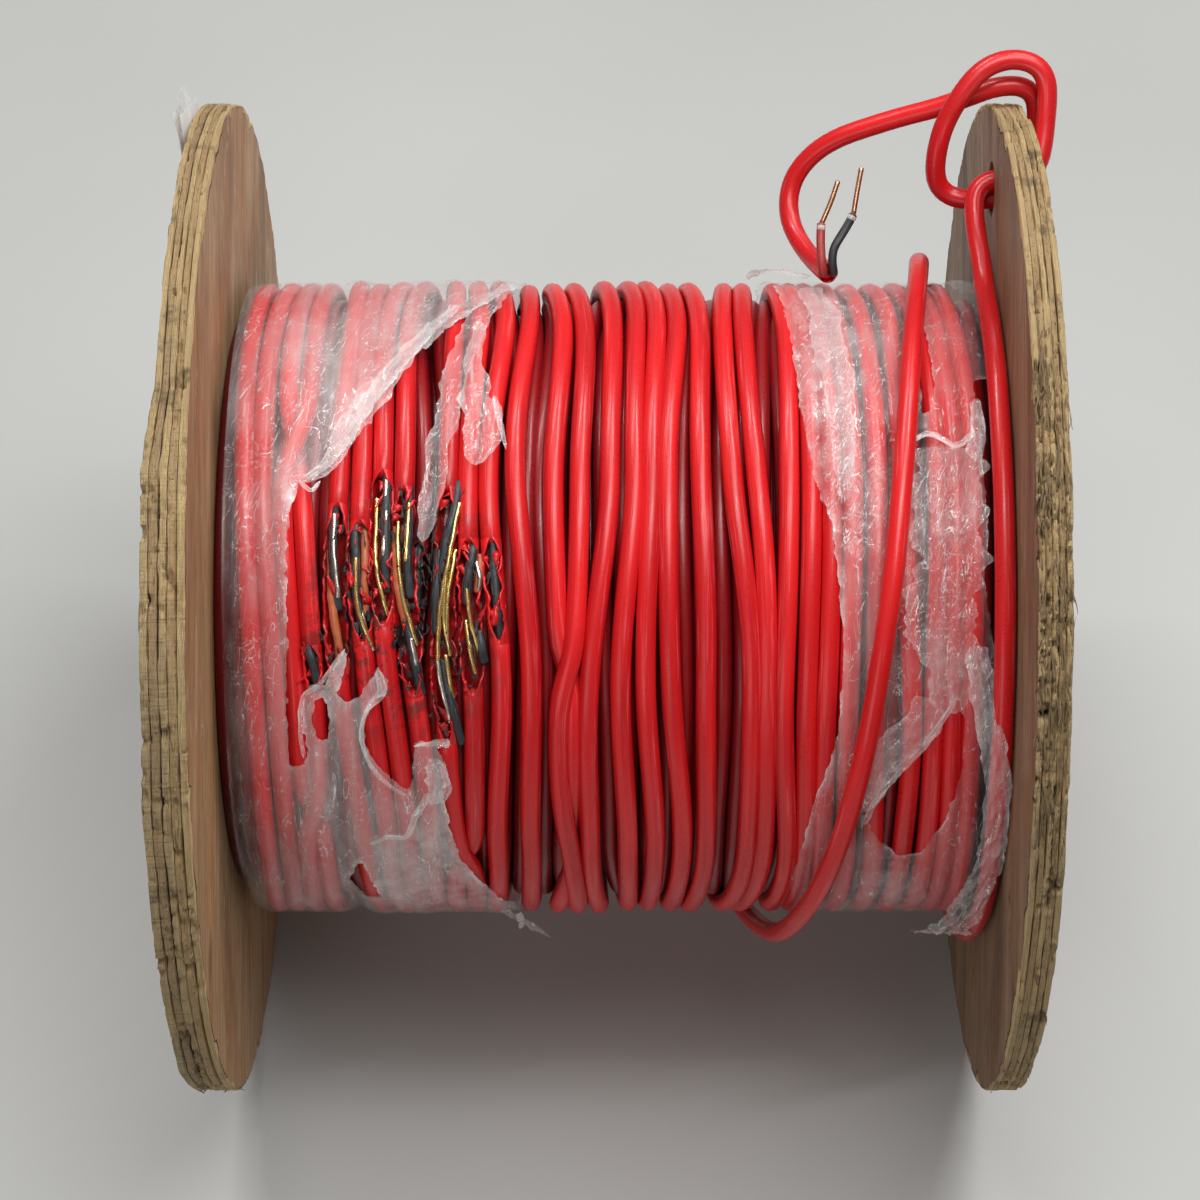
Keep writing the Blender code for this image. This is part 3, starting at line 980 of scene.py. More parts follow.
@dataclass
class Studio:
    """The camera, the soft lights and the pale floor round the reel."""

    elevation: float = 50.0
    distance: float = 1.426
    lens: float = 102.9
    shift: Place = (-0.0098, -0.0025)
    floor_size: float = 60.0
    floor_colour: Colour = (0.50, 0.50, 0.485)

    def place_camera(self) -> None:
        """Stand the camera in front of the reel, looking down at the middle of its axis."""
        data = bpy.data.cameras.new("camera")
        data.lens = self.lens
        data.shift_x, data.shift_y = self.shift
        camera = bpy.data.objects.new("camera", data)
        bpy.context.scene.collection.objects.link(camera)
        angle = math.radians(self.elevation)
        back = Vector((0.0, -math.cos(angle), math.sin(angle)))
        camera.location = Vector((0.0, 0.0, SIZES.axis_height)) + back * self.distance
        camera.rotation_mode = "QUATERNION"
        camera.rotation_quaternion = (-back).to_track_quat("-Z", "Y")
        bpy.context.scene.camera = camera

    def add_light(self, name: str, place: Colour, aim: Colour, size: Place, power: float) -> None:
        """Add a soft rectangular light.

        Args:
            name: Its name.
            place: Where it hangs.
            aim: The point that it faces.
            size: Its length and width.
            power: Its power in watts.
        """
        data = bpy.data.lights.new(name, "AREA")
        data.shape = "RECTANGLE"
        data.size, data.size_y = size
        data.energy = power
        light = bpy.data.objects.new(name, data)
        light.location = place
        light.rotation_mode = "QUATERNION"
        light.rotation_quaternion = (Vector(aim) - Vector(place)).to_track_quat("-Z", "Y")
        bpy.context.scene.collection.objects.link(light)

    def light(self) -> None:
        """Light the reel from above, with bright tubes over and behind it and a weak fill in front."""
        middle = (0.0, 0.0, SIZES.axis_height)
        self.add_light("ceiling", (0.30, -0.25, 1.9), middle, (1.1, 0.9), 17.0)
        self.add_light("ceiling_tube", (0.10, -0.30, 1.85), middle, (0.9, 0.05), 5.0)
        self.add_light("tube_left", (-0.45, 0.75, 1.7), middle, (0.75, 0.09), 11.0)
        self.add_light("tube_right", (0.65, 0.60, 1.7), middle, (0.75, 0.09), 11.0)
        self.add_light("front_fill", (-0.9, -1.9, 0.9), middle, (1.0, 1.0), 6.0)
        world = bpy.data.worlds.new("room")
        world.use_nodes = True
        background = world.node_tree.nodes["Background"]
        background.inputs["Color"].default_value = (0.82, 0.84, 0.82, 1.0)
        background.inputs["Strength"].default_value = 0.25
        bpy.context.scene.world = world

    def lay_floor(self) -> None:
        """Lay the floor that the rims stand on."""
        mesh = bpy.data.meshes.new("floor")
        shape = bmesh.new()
        bmesh.ops.create_grid(shape, x_segments=2, y_segments=2, size=self.floor_size / 2)
        shape.to_mesh(mesh)
        shape.free()
        floor = bpy.data.objects.new("floor", mesh)
        floor.location = (0.0, 0.0, -0.0004)
        bpy.context.scene.collection.objects.link(floor)
        look = Shading("pale_floor")
        cloud = look.noise(look.place, 2.2, 3.0, 0.5)
        warm = tuple(value * 0.93 for value in self.floor_colour)
        mesh.materials.append(look.done(look.painted(self.floor_colour, warm, cloud, 0.35, 0.65), 0.42))

    def set_up(self) -> None:
        """Set up the camera, the lights and the floor, and keep colours as they are."""
        self.place_camera()
        self.light()
        self.lay_floor()
        scene = bpy.context.scene
        scene.view_settings.view_transform = "Standard"
        scene.view_settings.look = "None"


def spline_through(points: list[np.ndarray], span_steps: int = 24) -> np.ndarray:
    """Many points on one smooth curve through a route's own points.

    Args:
        points: The route's points.
        span_steps: How many steps lie between two of them.

    Returns:
        The curve's points.
    """
    ends = [2 * points[0] - points[1], *points, 2 * points[-1] - points[-2]]
    line = []
    for before, start, end, after in zip(ends, ends[1:], ends[2:], ends[3:]):
        for step in range(span_steps):
            t = step / span_steps
            square = (2 * before - 5 * start + 4 * end - after) * t**2
            cube = (3 * start - before - 3 * end + after) * t**3
            line.append(0.5 * (2 * start + (end - before) * t + square + cube))
    line.append(points[-1])
    return np.array(line)


def evenly(line: np.ndarray, step: float) -> np.ndarray:
    """Walk along a line in equal steps.

    Args:
        line: The line's points.
        step: The length of a step.

    Returns:
        The points at the steps, with the line's two ends among them.
    """
    kept = [line[0]]
    for end in line[1:]:
        while np.linalg.norm(end - kept[-1]) > step:
            heading = end - kept[-1]
            kept.append(kept[-1] + heading / np.linalg.norm(heading) * step)
    kept[-1] = line[-1]
    return np.array(kept)


def smooth_route(points: list[np.ndarray], step: float = 0.002, passes: int = 5) -> np.ndarray:
    """A smooth route with its sharpest bends eased, as a stiff cable takes them.

    Args:
        points: The points that it passes.
        step: How far apart the new points are.
        passes: How often its bends are eased.

    Returns:
        The route's new points.
    """
    line = evenly(spline_through(points), step)
    for _ in range(passes):
        line[1:-1] = (line[:-2] + 2 * line[1:-1] + line[2:]) / 4
    return line


@dataclass
class FreeEnd:
    """The cable's free end: one loose turn, the tie-off loop and the stripped conductors."""

    cable_radius: float = 0.00403
    turn_radius: float = 0.13843
    insulation_radius: float = 0.00175
    copper_radius: float = 0.00103
    jacket_wall: float = 0.0009
    mouth_length: float = 0.010
    strand_mark: float = 9.0
    sides: int = 20

    # The loose turn: its angle round the axis and its place along the axis.
    TURN = [
        (-62, 0.0520), (-46, 0.0620), (-30, 0.0700), (-10, 0.0792), (7, 0.0882), (25, 0.0960),
        (42, 0.1020), (57, 0.1068), (74, 0.1111), (94, 0.1161), (109, 0.1203), (125, 0.1245),
        (145, 0.1285), (170, 0.1318), (195, 0.1345), (220, 0.1370), (245, 0.1395), (270, 0.1420),
        (295, 0.1442), (320, 0.1460), (345, 0.1472), (365, 0.1478), (385, 0.1478), (405, 0.1478),
        (425, 0.1478), (445, 0.1478), (460, 0.1478),
    ]  # fmt: skip
    # From the loose turn to the stripped end, measured from the middle of the axis.
    TAIL = [
        (0.1476, 0.0500, 0.1310), (0.1470, 0.0620, 0.1330), (0.1458, 0.0730, 0.1358),
        (0.1450, 0.0810, 0.1395), (0.1450, 0.0876, 0.1434), (0.1473, 0.0923, 0.1466),
        (0.1530, 0.0942, 0.1479), (0.1580, 0.0944, 0.1480), (0.1625, 0.0946, 0.1481),
        (0.1684, 0.0963, 0.1494), (0.1713, 0.1003, 0.1527), (0.1726, 0.1051, 0.1566),
        (0.1734, 0.1101, 0.1607), (0.1741, 0.1153, 0.1659), (0.1743, 0.1201, 0.1712),
        (0.1734, 0.1241, 0.1758), (0.1702, 0.1268, 0.1791), (0.1640, 0.1284, 0.1808),
        (0.1560, 0.1280, 0.1808), (0.1480, 0.1250, 0.1784), (0.1419, 0.1208, 0.1734),
        (0.1377, 0.1167, 0.1684), (0.1339, 0.1127, 0.1624), (0.1313, 0.1080, 0.1559),
        (0.1302, 0.1044, 0.1490), (0.1303, 0.1018, 0.1427), (0.1319, 0.1000, 0.1381),
        (0.1354, 0.0984, 0.1355), (0.1402, 0.0967, 0.1347), (0.1456, 0.0952, 0.1355),
        (0.1510, 0.0943, 0.1370), (0.1565, 0.0940, 0.1377), (0.1625, 0.0940, 0.1378),
        (0.1682, 0.0960, 0.1390), (0.1705, 0.1007, 0.1417), (0.1713, 0.1060, 0.1448),
        (0.1716, 0.1122, 0.1488), (0.1714, 0.1178, 0.1532), (0.1715, 0.1231, 0.1591),
        (0.1702, 0.1264, 0.1642), (0.1657, 0.1279, 0.1671), (0.1592, 0.1279, 0.1677),
        (0.1525, 0.1274, 0.1666), (0.1438, 0.1270, 0.1626), (0.1328, 0.1275, 0.1567),
        (0.1172, 0.1288, 0.1498), (0.1053, 0.1290, 0.1446), (0.0938, 0.1288, 0.1393),
        (0.0850, 0.1275, 0.1337), (0.0786, 0.1250, 0.1277), (0.0743, 0.1210, 0.1218),
        (0.0726, 0.1150, 0.1166), (0.0733, 0.1070, 0.1128), (0.0762, 0.0978, 0.1114),
        (0.0802, 0.0876, 0.1126), (0.0836, 0.0786, 0.1154), (0.0862, 0.0711, 0.1192),
    ]  # fmt: skip
    RED = [
        (0.0848, 0.0691, 0.1201), (0.0849, 0.0671, 0.1216), (0.0846, 0.0661, 0.1243),
        (0.0840, 0.0680, 0.1272), (0.0837, 0.0723, 0.1301), (0.0836, 0.0762, 0.1331),
        (0.0838, 0.0802, 0.1364),
    ]  # fmt: skip
    RED_COPPER = [(0.0841, 0.0807, 0.1368), (0.0876, 0.0869, 0.1420), (0.0905, 0.0934, 0.1474)]
    BLACK = [
        (0.0884, 0.0701, 0.1194), (0.0891, 0.0682, 0.1210), (0.0889, 0.0669, 0.1237),
        (0.0883, 0.0684, 0.1266), (0.0887, 0.0724, 0.1301), (0.0911, 0.0757, 0.1330),
        (0.0943, 0.0796, 0.1363), (0.0965, 0.0829, 0.1390),
    ]  # fmt: skip
    BLACK_COPPER = [
        (0.0968, 0.0835, 0.1395), (0.0981, 0.0899, 0.1448), (0.0999, 0.0973, 0.1510),
    ]  # fmt: skip

    def cable_line(self) -> np.ndarray:
        """Lay the whole free end, from the winding to the open end of the jacket.

        Returns:
            The points of its centreline.
        """
        middle = np.array([0.0, 0.0, SIZES.axis_height])
        turn = [SIZES.points(x, self.turn_radius, degrees) for degrees, x in self.TURN]
        return smooth_route(turn + [np.array(point) + middle for point in self.TAIL])

    def wire_line(self, route: list[Colour]) -> np.ndarray:
        """The centreline of a conductor or its bare end."""
        middle = np.array([0.0, 0.0, SIZES.axis_height])
        return smooth_route([np.array(point) + middle for point in route], 0.001)

    def build_cable(self) -> tuple[Piece, np.ndarray]:
        """Make the jacketed cable with its hollow, slightly flared mouth.

        Returns:
            The piece and its centreline.
        """
        line = self.cable_line()
        along = distances(line)
        swell = 1 + 0.012 * lattice_noise(along * 70, 0, 41)
        draft = MeshDraft()
        add_tube(
            draft, line, self.cable_radius * swell, carried_frames(line), self.sides, mark=self.strand_mark
        )
        return draft.piece("free_cable", [RED_JACKET]), line

    def build_mouth(self, line: np.ndarray) -> Piece:
        """Make the open end of the jacket, a short sleeve round the last of the cable.

        Args:
            line: The cable's centreline.

        Returns:
            The piece.
        """
        near_end = distances(line) > distances(line)[-1] - self.mouth_length / 2
        tail = line[near_end]
        heading = directions(tail)[-1]
        beyond = tail[-1] + heading * np.linspace(0.0005, 0.0026, 4)[:, None]
        tail = np.concatenate([tail, beyond])
        turn = np.linspace(0, 2 * np.pi, 28, endpoint=False)
        share = np.linspace(0, 1, len(tail))[:, None]
        ragged = 0.00035 * lattice_noise(turn * 2.2, 0, 77)
        outer = self.cable_radius * (1.015 + 0.03 * share**2) + 0 * turn
        inner = outer - self.jacket_wall * (1 - 0.3 * share)
        ring = rings(carried_frames(tail), turn)
        lip = (share**6) * ragged[None]
        shell = tail[:, None] + outer[..., None] * ring + lip[..., None] * heading
        bore = (tail[:, None] + inner[..., None] * ring + lip[..., None] * heading)[::-1]
        points = np.concatenate([shell, bore])
        draft = MeshDraft()
        lay = stacked(0.2, turn[None] / (2 * np.pi), np.full((len(points), 1), self.strand_mark))
        draft.add(points, [grid_faces(len(points), len(turn), closed=True)], lay)
        return draft.piece("jacket_mouth", [RED_JACKET])

    def build_wire(self, name: str, route: list[Colour], radius: float, finish: Material) -> Piece:
        """Make one conductor or bare end.

        Args:
            name: The piece's name.
            route: The points it follows.
            radius: Its radius.
            finish: Its material.

        Returns:
            The piece.
        """
        line = self.wire_line(route)
        draft = MeshDraft()
        add_tube(draft, line, radius, carried_frames(line), 16)
        return draft.piece(name, [finish])

    def build_cut_ring(self, name: str, route: list[Colour]) -> Piece:
        """Make the pale, slightly swollen rim where a conductor's insulation is cut.

        Args:
            name: The piece's name.
            route: The points that the conductor follows.

        Returns:
            The piece.
        """
        line = self.wire_line(route)[-3:]
        radius = self.insulation_radius * np.array([1.0, 1.05, 0.97])
        draft = MeshDraft()
        add_tube(draft, line, radius, carried_frames(line), 16)
        return draft.piece(name, [CUT_INSULATION])

    def build(self) -> list[Piece]:
        """Returns:
            Its pieces.
        """
        cable, line = self.build_cable()
        mouth = self.build_mouth(line)
        thick, thin = self.insulation_radius, self.copper_radius
        red = self.build_wire("red_conductor", self.RED, thick, RED_INSULATION)
        black = self.build_wire("black_conductor", self.BLACK, thick, BLACK_INSULATION)
        red_copper = self.build_wire("red_bare_end", self.RED_COPPER, thin, COPPER)
        black_copper = self.build_wire("black_bare_end", self.BLACK_COPPER, thin, COPPER)
        red_rim = self.build_cut_ring("red_cut_rim", self.RED)
        black_rim = self.build_cut_ring("black_cut_rim", self.BLACK)
        for piece, node, slot in (
            (cable, "cable_free_end", "red_jacket"), (mouth, "", "red_jacket"),
            (red, "conductor_red", "red_insulation"), (black, "conductor_black", "black_insulation"),
            (red_copper, "copper_end_red", "copper"), (black_copper, "copper_end_black", "copper"),
            (red_rim, "", "red_insulation"), (black_rim, "", "black_insulation"),
        ):  # fmt: skip
            if node:
                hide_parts(node)
        on_cord = [mouth, red, black, red_copper, black_copper, red_rim, black_rim]
        return [cable, *on_cord]


@dataclass
class Winding:
    """The wound cable: a dense under layer and a looser over layer that crosses it."""

    cable_radius: float = 0.00403
    under_turns: int = 37
    over_turns: int = 31
    stations: int = 120
    passes: int = 130
    floor_radius: float = 0.1192
    ceiling_radius: float = 0.1285
    end_gap: float = 0.0003
    lean: float = 0.0105
    core_depth: float = 0.0085
    sides: int = 12

    def reach(self) -> float:
        """How far along the axis a turn's own line can lie from the middle."""
        return SIZES.inner_face - self.end_gap - self.cable_radius

    def first_places(self) -> tuple[np.ndarray, np.ndarray]:
        """Where the turns lie before they settle.

        Returns:
            Their places along the axis and their radii, one row a turn, under layer first.
        """
        reach = self.reach()
        rows, radii = [], []
        layers = (
            (self.under_turns, -1, self.floor_radius + 0.001, 0.0016, 11),
            (self.over_turns, 1, self.floor_radius + 0.0085, 0.0125, 23),
        )
        for turns, side, radius, wander, seed in layers:
            count = turns * self.stations
            share = np.arange(count) / (count - 1)
            turned = share * turns
            x = side * reach * (1 - 2 * share)
            sway = layered_noise(turned * 1.9, turned * 0.13, seed, 2)
            slow = lattice_noise(turned * 0.9, 5.5, seed + 7)
            x = x + wander * (sway + 0.6 * slow) * np.minimum(1, 8 * (0.5 - abs(share - 0.5)) + 0.15)
            rows.append(x.reshape(turns, self.stations))
            rise = 0.0024 * layered_noise(turned * 1.9, 2.5, seed + 3, 2)
            radii.append((radius + rise).reshape(turns, self.stations))
        return np.concatenate(rows), np.concatenate(radii)

    def smoothed(self, values: np.ndarray, share: float) -> np.ndarray:
        """Even out the layers' values along their cables.

        Args:
            values: One row a turn, under layer first.
            share: How far each value moves to its neighbours' mean.

        Returns:
            The evened values.
        """
        parts = []
        for part in (values[: self.under_turns], values[self.under_turns :]):
            line = part.ravel().copy()
            line[1:-1] += share * ((line[:-2] + line[2:]) / 2 - line[1:-1])
            parts.append(line.reshape(part.shape))
        return np.concatenate(parts)

    def settle(self) -> tuple[np.ndarray, np.ndarray]:
        """Let the turns push each other apart and sink inward until they lie on each other.

        Returns:
            Their places along the axis and their radii, one row a turn, under layer first.
        """
        x, radius = self.first_places()
        width = 2 * self.cable_radius * 0.985
        reach = self.reach()
        weight = np.where(np.arange(len(x)) < self.under_turns, 0.35, 1.0)[:, None]
        for turn in range(self.passes):
            pull = 0.00012 if turn < self.passes - 40 else 0.00003
            radius = radius - pull * (1 + weight)
            off_x = x[:, None] - x[None]
            off_radius = radius[:, None] - radius[None]
            gap = np.sqrt(off_x**2 + off_radius**2) + 1e-9
            push = np.clip(width - gap, 0, None) * 0.5 / gap
            push[np.arange(len(x)), np.arange(len(x))] = 0
            x = x + (push * off_x).sum(1) * 0.24 * (0.4 + 0.6 * weight)
            radius = radius + (push * off_radius).sum(1) * 0.8 * (0.3 + 0.7 * weight)
            x = np.clip(self.smoothed(x, 0.35), -reach, reach)
            radius = np.clip(self.smoothed(radius, 0.30), self.floor_radius, self.ceiling_radius)
        return self.slanted(x), radius

    def slanted(self, x: np.ndarray) -> np.ndarray:
        """Lean whole groups of turns one way and another, as hand winding leaves them.

        Args:
            x: The turns' places along the axis, one row a turn.

        Returns:
            Their new places.
        """
        reach = self.reach()
        leans = 5
        round_axis = np.arange(self.stations)[None] / self.stations * leans + 0 * x
        first = np.arange(len(x))[:, None] < self.under_turns
        under = layered_noise(x / 0.050, round_axis, 61, 2, leans)
        over = layered_noise(x / 0.044, round_axis, 74, 2, leans)
        return x + self.lean * np.where(first, under, over) * (1 - (x / reach) ** 4)

    def outline(self, x: np.ndarray, radius: np.ndarray, places: np.ndarray) -> np.ndarray:
        """How far the turns' outer surface lies from the axis.

        Args:
            x: The turns' places along the axis.
            radius: Their radii.
            places: Where along the axis to look.

        Returns:
            One row a place, one column a station round the axis.
        """
        top = np.full((len(places), self.stations), self.floor_radius)
        for turn_x, turn_radius in zip(x, radius):
            off = places[:, None] - turn_x[None]
            inside = self.cable_radius**2 - off**2
            crown = turn_radius + np.sqrt(np.maximum(inside, 0))
            top = np.where(inside > 0, np.maximum(top, crown), top)
        return top

    def add_core(self, draft: MeshDraft) -> None:
        """Add the turns below those that show, as one ridged ring.

        Args:
            draft: The piece that it is part of.
        """
        places = np.linspace(-1, 1, 301) * (SIZES.inner_face - 2 * self.end_gap)
        angles = np.linspace(0, FULL_TURN, 96, endpoint=False)
        ridge = 0.0022 * np.abs(np.sin(places * math.pi / (2 * self.cable_radius)))
        outer = self.floor_radius - self.core_depth / 2 + ridge
        ends = np.full(1, SIZES.drum_radius + self.end_gap)
        profile_x = np.concatenate([places[:1], places, places[-1:]])
        profile_radius = np.concatenate([ends, outer, ends])
        points = SIZES.points(profile_x[:, None], profile_radius[:, None], -angles[None])
        lay = stacked(angles[None] / 100, profile_x[:, None] * 40, 3.0)
        draft.add(points, [grid_faces(len(profile_x), len(angles), closed=True)], lay)

    def build(self) -> list[Piece]:
        """Build the wound cable.

        Returns:
            Its pieces.
        """
        x, radius = TURNS
        wounds = Wounds(self, x, radius)
        angles = np.arange(self.stations) * FULL_TURN / self.stations
        core = MeshDraft()
        self.add_core(core)
        drafts = [core, MeshDraft(), MeshDraft()]
        layers = ((0, self.under_turns, drafts[1]), (self.under_turns, len(x), drafts[2]))
        for first, last, draft in layers:
            line_x, line_radius = x[first:last].ravel(), radius[first:last].ravel()
            degrees = np.tile(angles, last - first)
            line = SIZES.points(line_x, line_radius, degrees)
            normal, across = outward_frames(line)
            along = distances(line)
            swell = 1 + 0.010 * lattice_noise(along * 60, 0, 31 + first)
            for start, end in wounds.whole_spans(first, last):
                part = slice(start, end)
                add_tube(
                    draft, line[part], self.cable_radius * swell[part], (normal[part], across[part]),
                    self.sides, mark=float(first + 1), start_along=along[start],
                )
        names = ("winding_core", "winding_under_layer", "winding_over_layer")
        pieces = [draft.piece(name, [RED_JACKET]) for draft, name in zip(drafts, names)]
        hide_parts("cable_winding")
        return [*pieces, *wounds.build()]


class Wire(Enum):
    """What a strand inside a torn jacket is: its radius and its finish's number."""

    BLACK = (0.00185, 1)
    ORANGE = (0.00165, 2)
    GOLD = (0.00092, 3)
    SILVER = (0.00090, 4)


@dataclass(frozen=True)
class Strand:
    """One strand in a wound. Its route has an angle in degrees, and then how far it lies to the
    right of the cable's own line and how far above it, in millimetres."""

    wire: Wire
    route: tuple[tuple[float, float, float], ...]


@dataclass(frozen=True)
class Wound:
    """A stretch of torn jacket: where it is, how wide it gapes and what shows in it."""

    x: float
    start: float
    end: float
    gape: float
    strands: tuple[Strand, ...]


WOUND_LIST = (
    Wound(-0.1068, 36, 66, 82, (
        Strand(Wire.BLACK, ((67, -0.6, 0.6), (61, -1.4, 2), (55, -0.8, 2.2), (48, 1.4, 0.6))),
        Strand(Wire.SILVER, ((64, -1, 3.2), (58, -0.8, 4), (52, 0.9, 3.4), (50, 1.2, 2.6))),
        Strand(Wire.ORANGE, ((58, -1.8, -0.2), (50, -1.4, 1.2), (42, 0.6, 1.4), (37, 1.2, 0.4))),
    )),
    Wound(-0.0995, 41, 64, 88, (
        Strand(Wire.BLACK, ((65, -1.6, 0.2), (59, -1.6, 2), (52, -1.4, 2), (46, -0.4, 1.4), (42, 2.2, 0.4))),
        Strand(Wire.GOLD, ((56.5, -1.6, 3.6), (50, -1.2, 4.4), (46, 0.2, 3.6), (42, 3.2, 2.4))),
        Strand(Wire.ORANGE, ((62, 1.8, -0.2), (55, 1.8, 1), (47, 1.4, 0.6))),
        Strand(Wire.SILVER, ((49, 0, 2), (45, 1, 2.4), (41, 3.6, 1.4))),
    )),
    Wound(-0.0920, 45, 72, 86, (
        Strand(Wire.GOLD, ((67, -1.6, 1.6), (60, -1.9, 3.4), (54, -1.5, 3.8), (50, 0.4, 3.4), (47, 2, 1.8))),
        Strand(Wire.BLACK, ((72, 1.4, 0.8), (66, 1.7, 2.4), (58, 1.7, 2.2), (51, 1.4, 0.6))),
        Strand(Wire.SILVER, ((70, 1.5, 3.2), (64, 1.9, 4.4), (59, 1.3, 3.8), (56, 1.2, 2.2))),
    )),
    Wound(-0.0845, 34, 69, 84, (
        Strand(Wire.BLACK, ((69, 1.8, 1), (63, 2.2, 2), (57, 1.4, 1.8), (50, 1.8, 0.4))),
        Strand(Wire.GOLD, ((66, 2.2, 2.8), (61, 1.8, 3.9), (56, 1, 3.4))),
        Strand(Wire.GOLD, ((63, -2, 1.4), (57, -2, 3.2), (51, -0.8, 3.8), (46, 1.4, 3.4), (42, 3.2, 2))),
        Strand(Wire.ORANGE, ((62, -2.9, -0.4), (56, -2.6, 1.4), (50, -2, 1.6), (45, 0.2, 0.8))),
        Strand(Wire.BLACK, ((47, 0.2, 0.4), (42, 1.2, 2.2), (37, 2, 2), (33, 2.4, 0.2))),
        Strand(Wire.SILVER, ((43, 1.2, 3.4), (40, 2, 4.2), (37, 2.4, 3))),
    )),
    Wound(-0.0765, 40, 60, 60, (
        Strand(Wire.BLACK, ((61, 0, 0.6), (55, 0.4, 1.6), (48, 1, 1.4), (42, 1.6, 0.2))),
        Strand(Wire.BLACK, ((56, -2.6, 0.2), (50, -2.2, 1.8), (44, -1.2, 0.6))),
    )),
    Wound(-0.0655, 25, 69, 92, (
        Strand(Wire.BLACK, ((70, 4.2, 1), (65, 2.8, 2.4), (60, 0.2, 2), (54, -1.6, 0.8))),
        Strand(Wire.GOLD, ((66, 4.6, 2.8), (59, 2.2, 4.2), (51, -0.8, 4.4), (44, -2, 3.8), (39, -2.4, 2))),
        Strand(Wire.GOLD, ((61, 3.2, 2.6), (54, 0.6, 3.6), (47, 0, 3.6), (42, 1.6, 2))),
        Strand(Wire.GOLD, ((58, 3.8, 1.6), (51, 1.6, 2.8), (45, 1.2, 3), (40, 2.4, 1.4))),
        Strand(Wire.SILVER, ((40, -2.6, 1.6), (36, -1.4, 3.4), (31, 0.8, 3), (28, 1.4, 1.4))),
        Strand(Wire.GOLD, ((40, 0.8, 1.4), (35, 2.4, 3), (30, 4.2, 2))),
        Strand(Wire.BLACK, ((39, -0.2, 0.4), (33, 2, 2.2), (28, 4, 2.2), (24, 5.4, 0.4))),
        Strand(Wire.BLACK, ((58, -2.8, 0.2), (51, -3, 1.4), (44, -2.8, 0.6))),
    )),
    Wound(-0.0535, 33, 60, 84, (
        Strand(Wire.BLACK, ((59, 2, 0.8), (57, 1.4, 2.6), (53, -0.4, 2.8), (49, -1.4, 0.8))),
        Strand(Wire.GOLD, ((57, 1, 3.2), (53, -0.8, 4.6), (48, -0.6, 4), (43, 1.6, 3), (40, 3.2, 1.4))),
        Strand(Wire.SILVER, ((56, 2.8, 1.6), (53, 4, 2.6), (51, 3.4, 1))),
        Strand(Wire.ORANGE, ((57, 3.8, 0.4), (54, 4.2, 1.6), (51, 3, 0.4))),
        Strand(Wire.GOLD, ((46, -1.6, 1.2), (41, -0.6, 3.2), (37, 1, 2))),
        Strand(Wire.BLACK, ((44, 3, 0.4), (41, 4, 2.2), (39, 4.4, 0.6))),
    )),
    Wound(-0.0450, 43, 60, 46, (
        Strand(Wire.BLACK, ((60, 0.8, 0.6), (53, 0.4, 1.8), (46, 0.6, 1.4), (42, 0.8, 0.2))),
    )),
    Wound(-0.1150, 33, 43, 44, (
        Strand(Wire.BLACK, ((43, -1.2, 1.4), (40, -0.2, 3.2), (36, 1.6, 3), (34, 2.8, 1.2))),
    )),
)  # fmt: skip


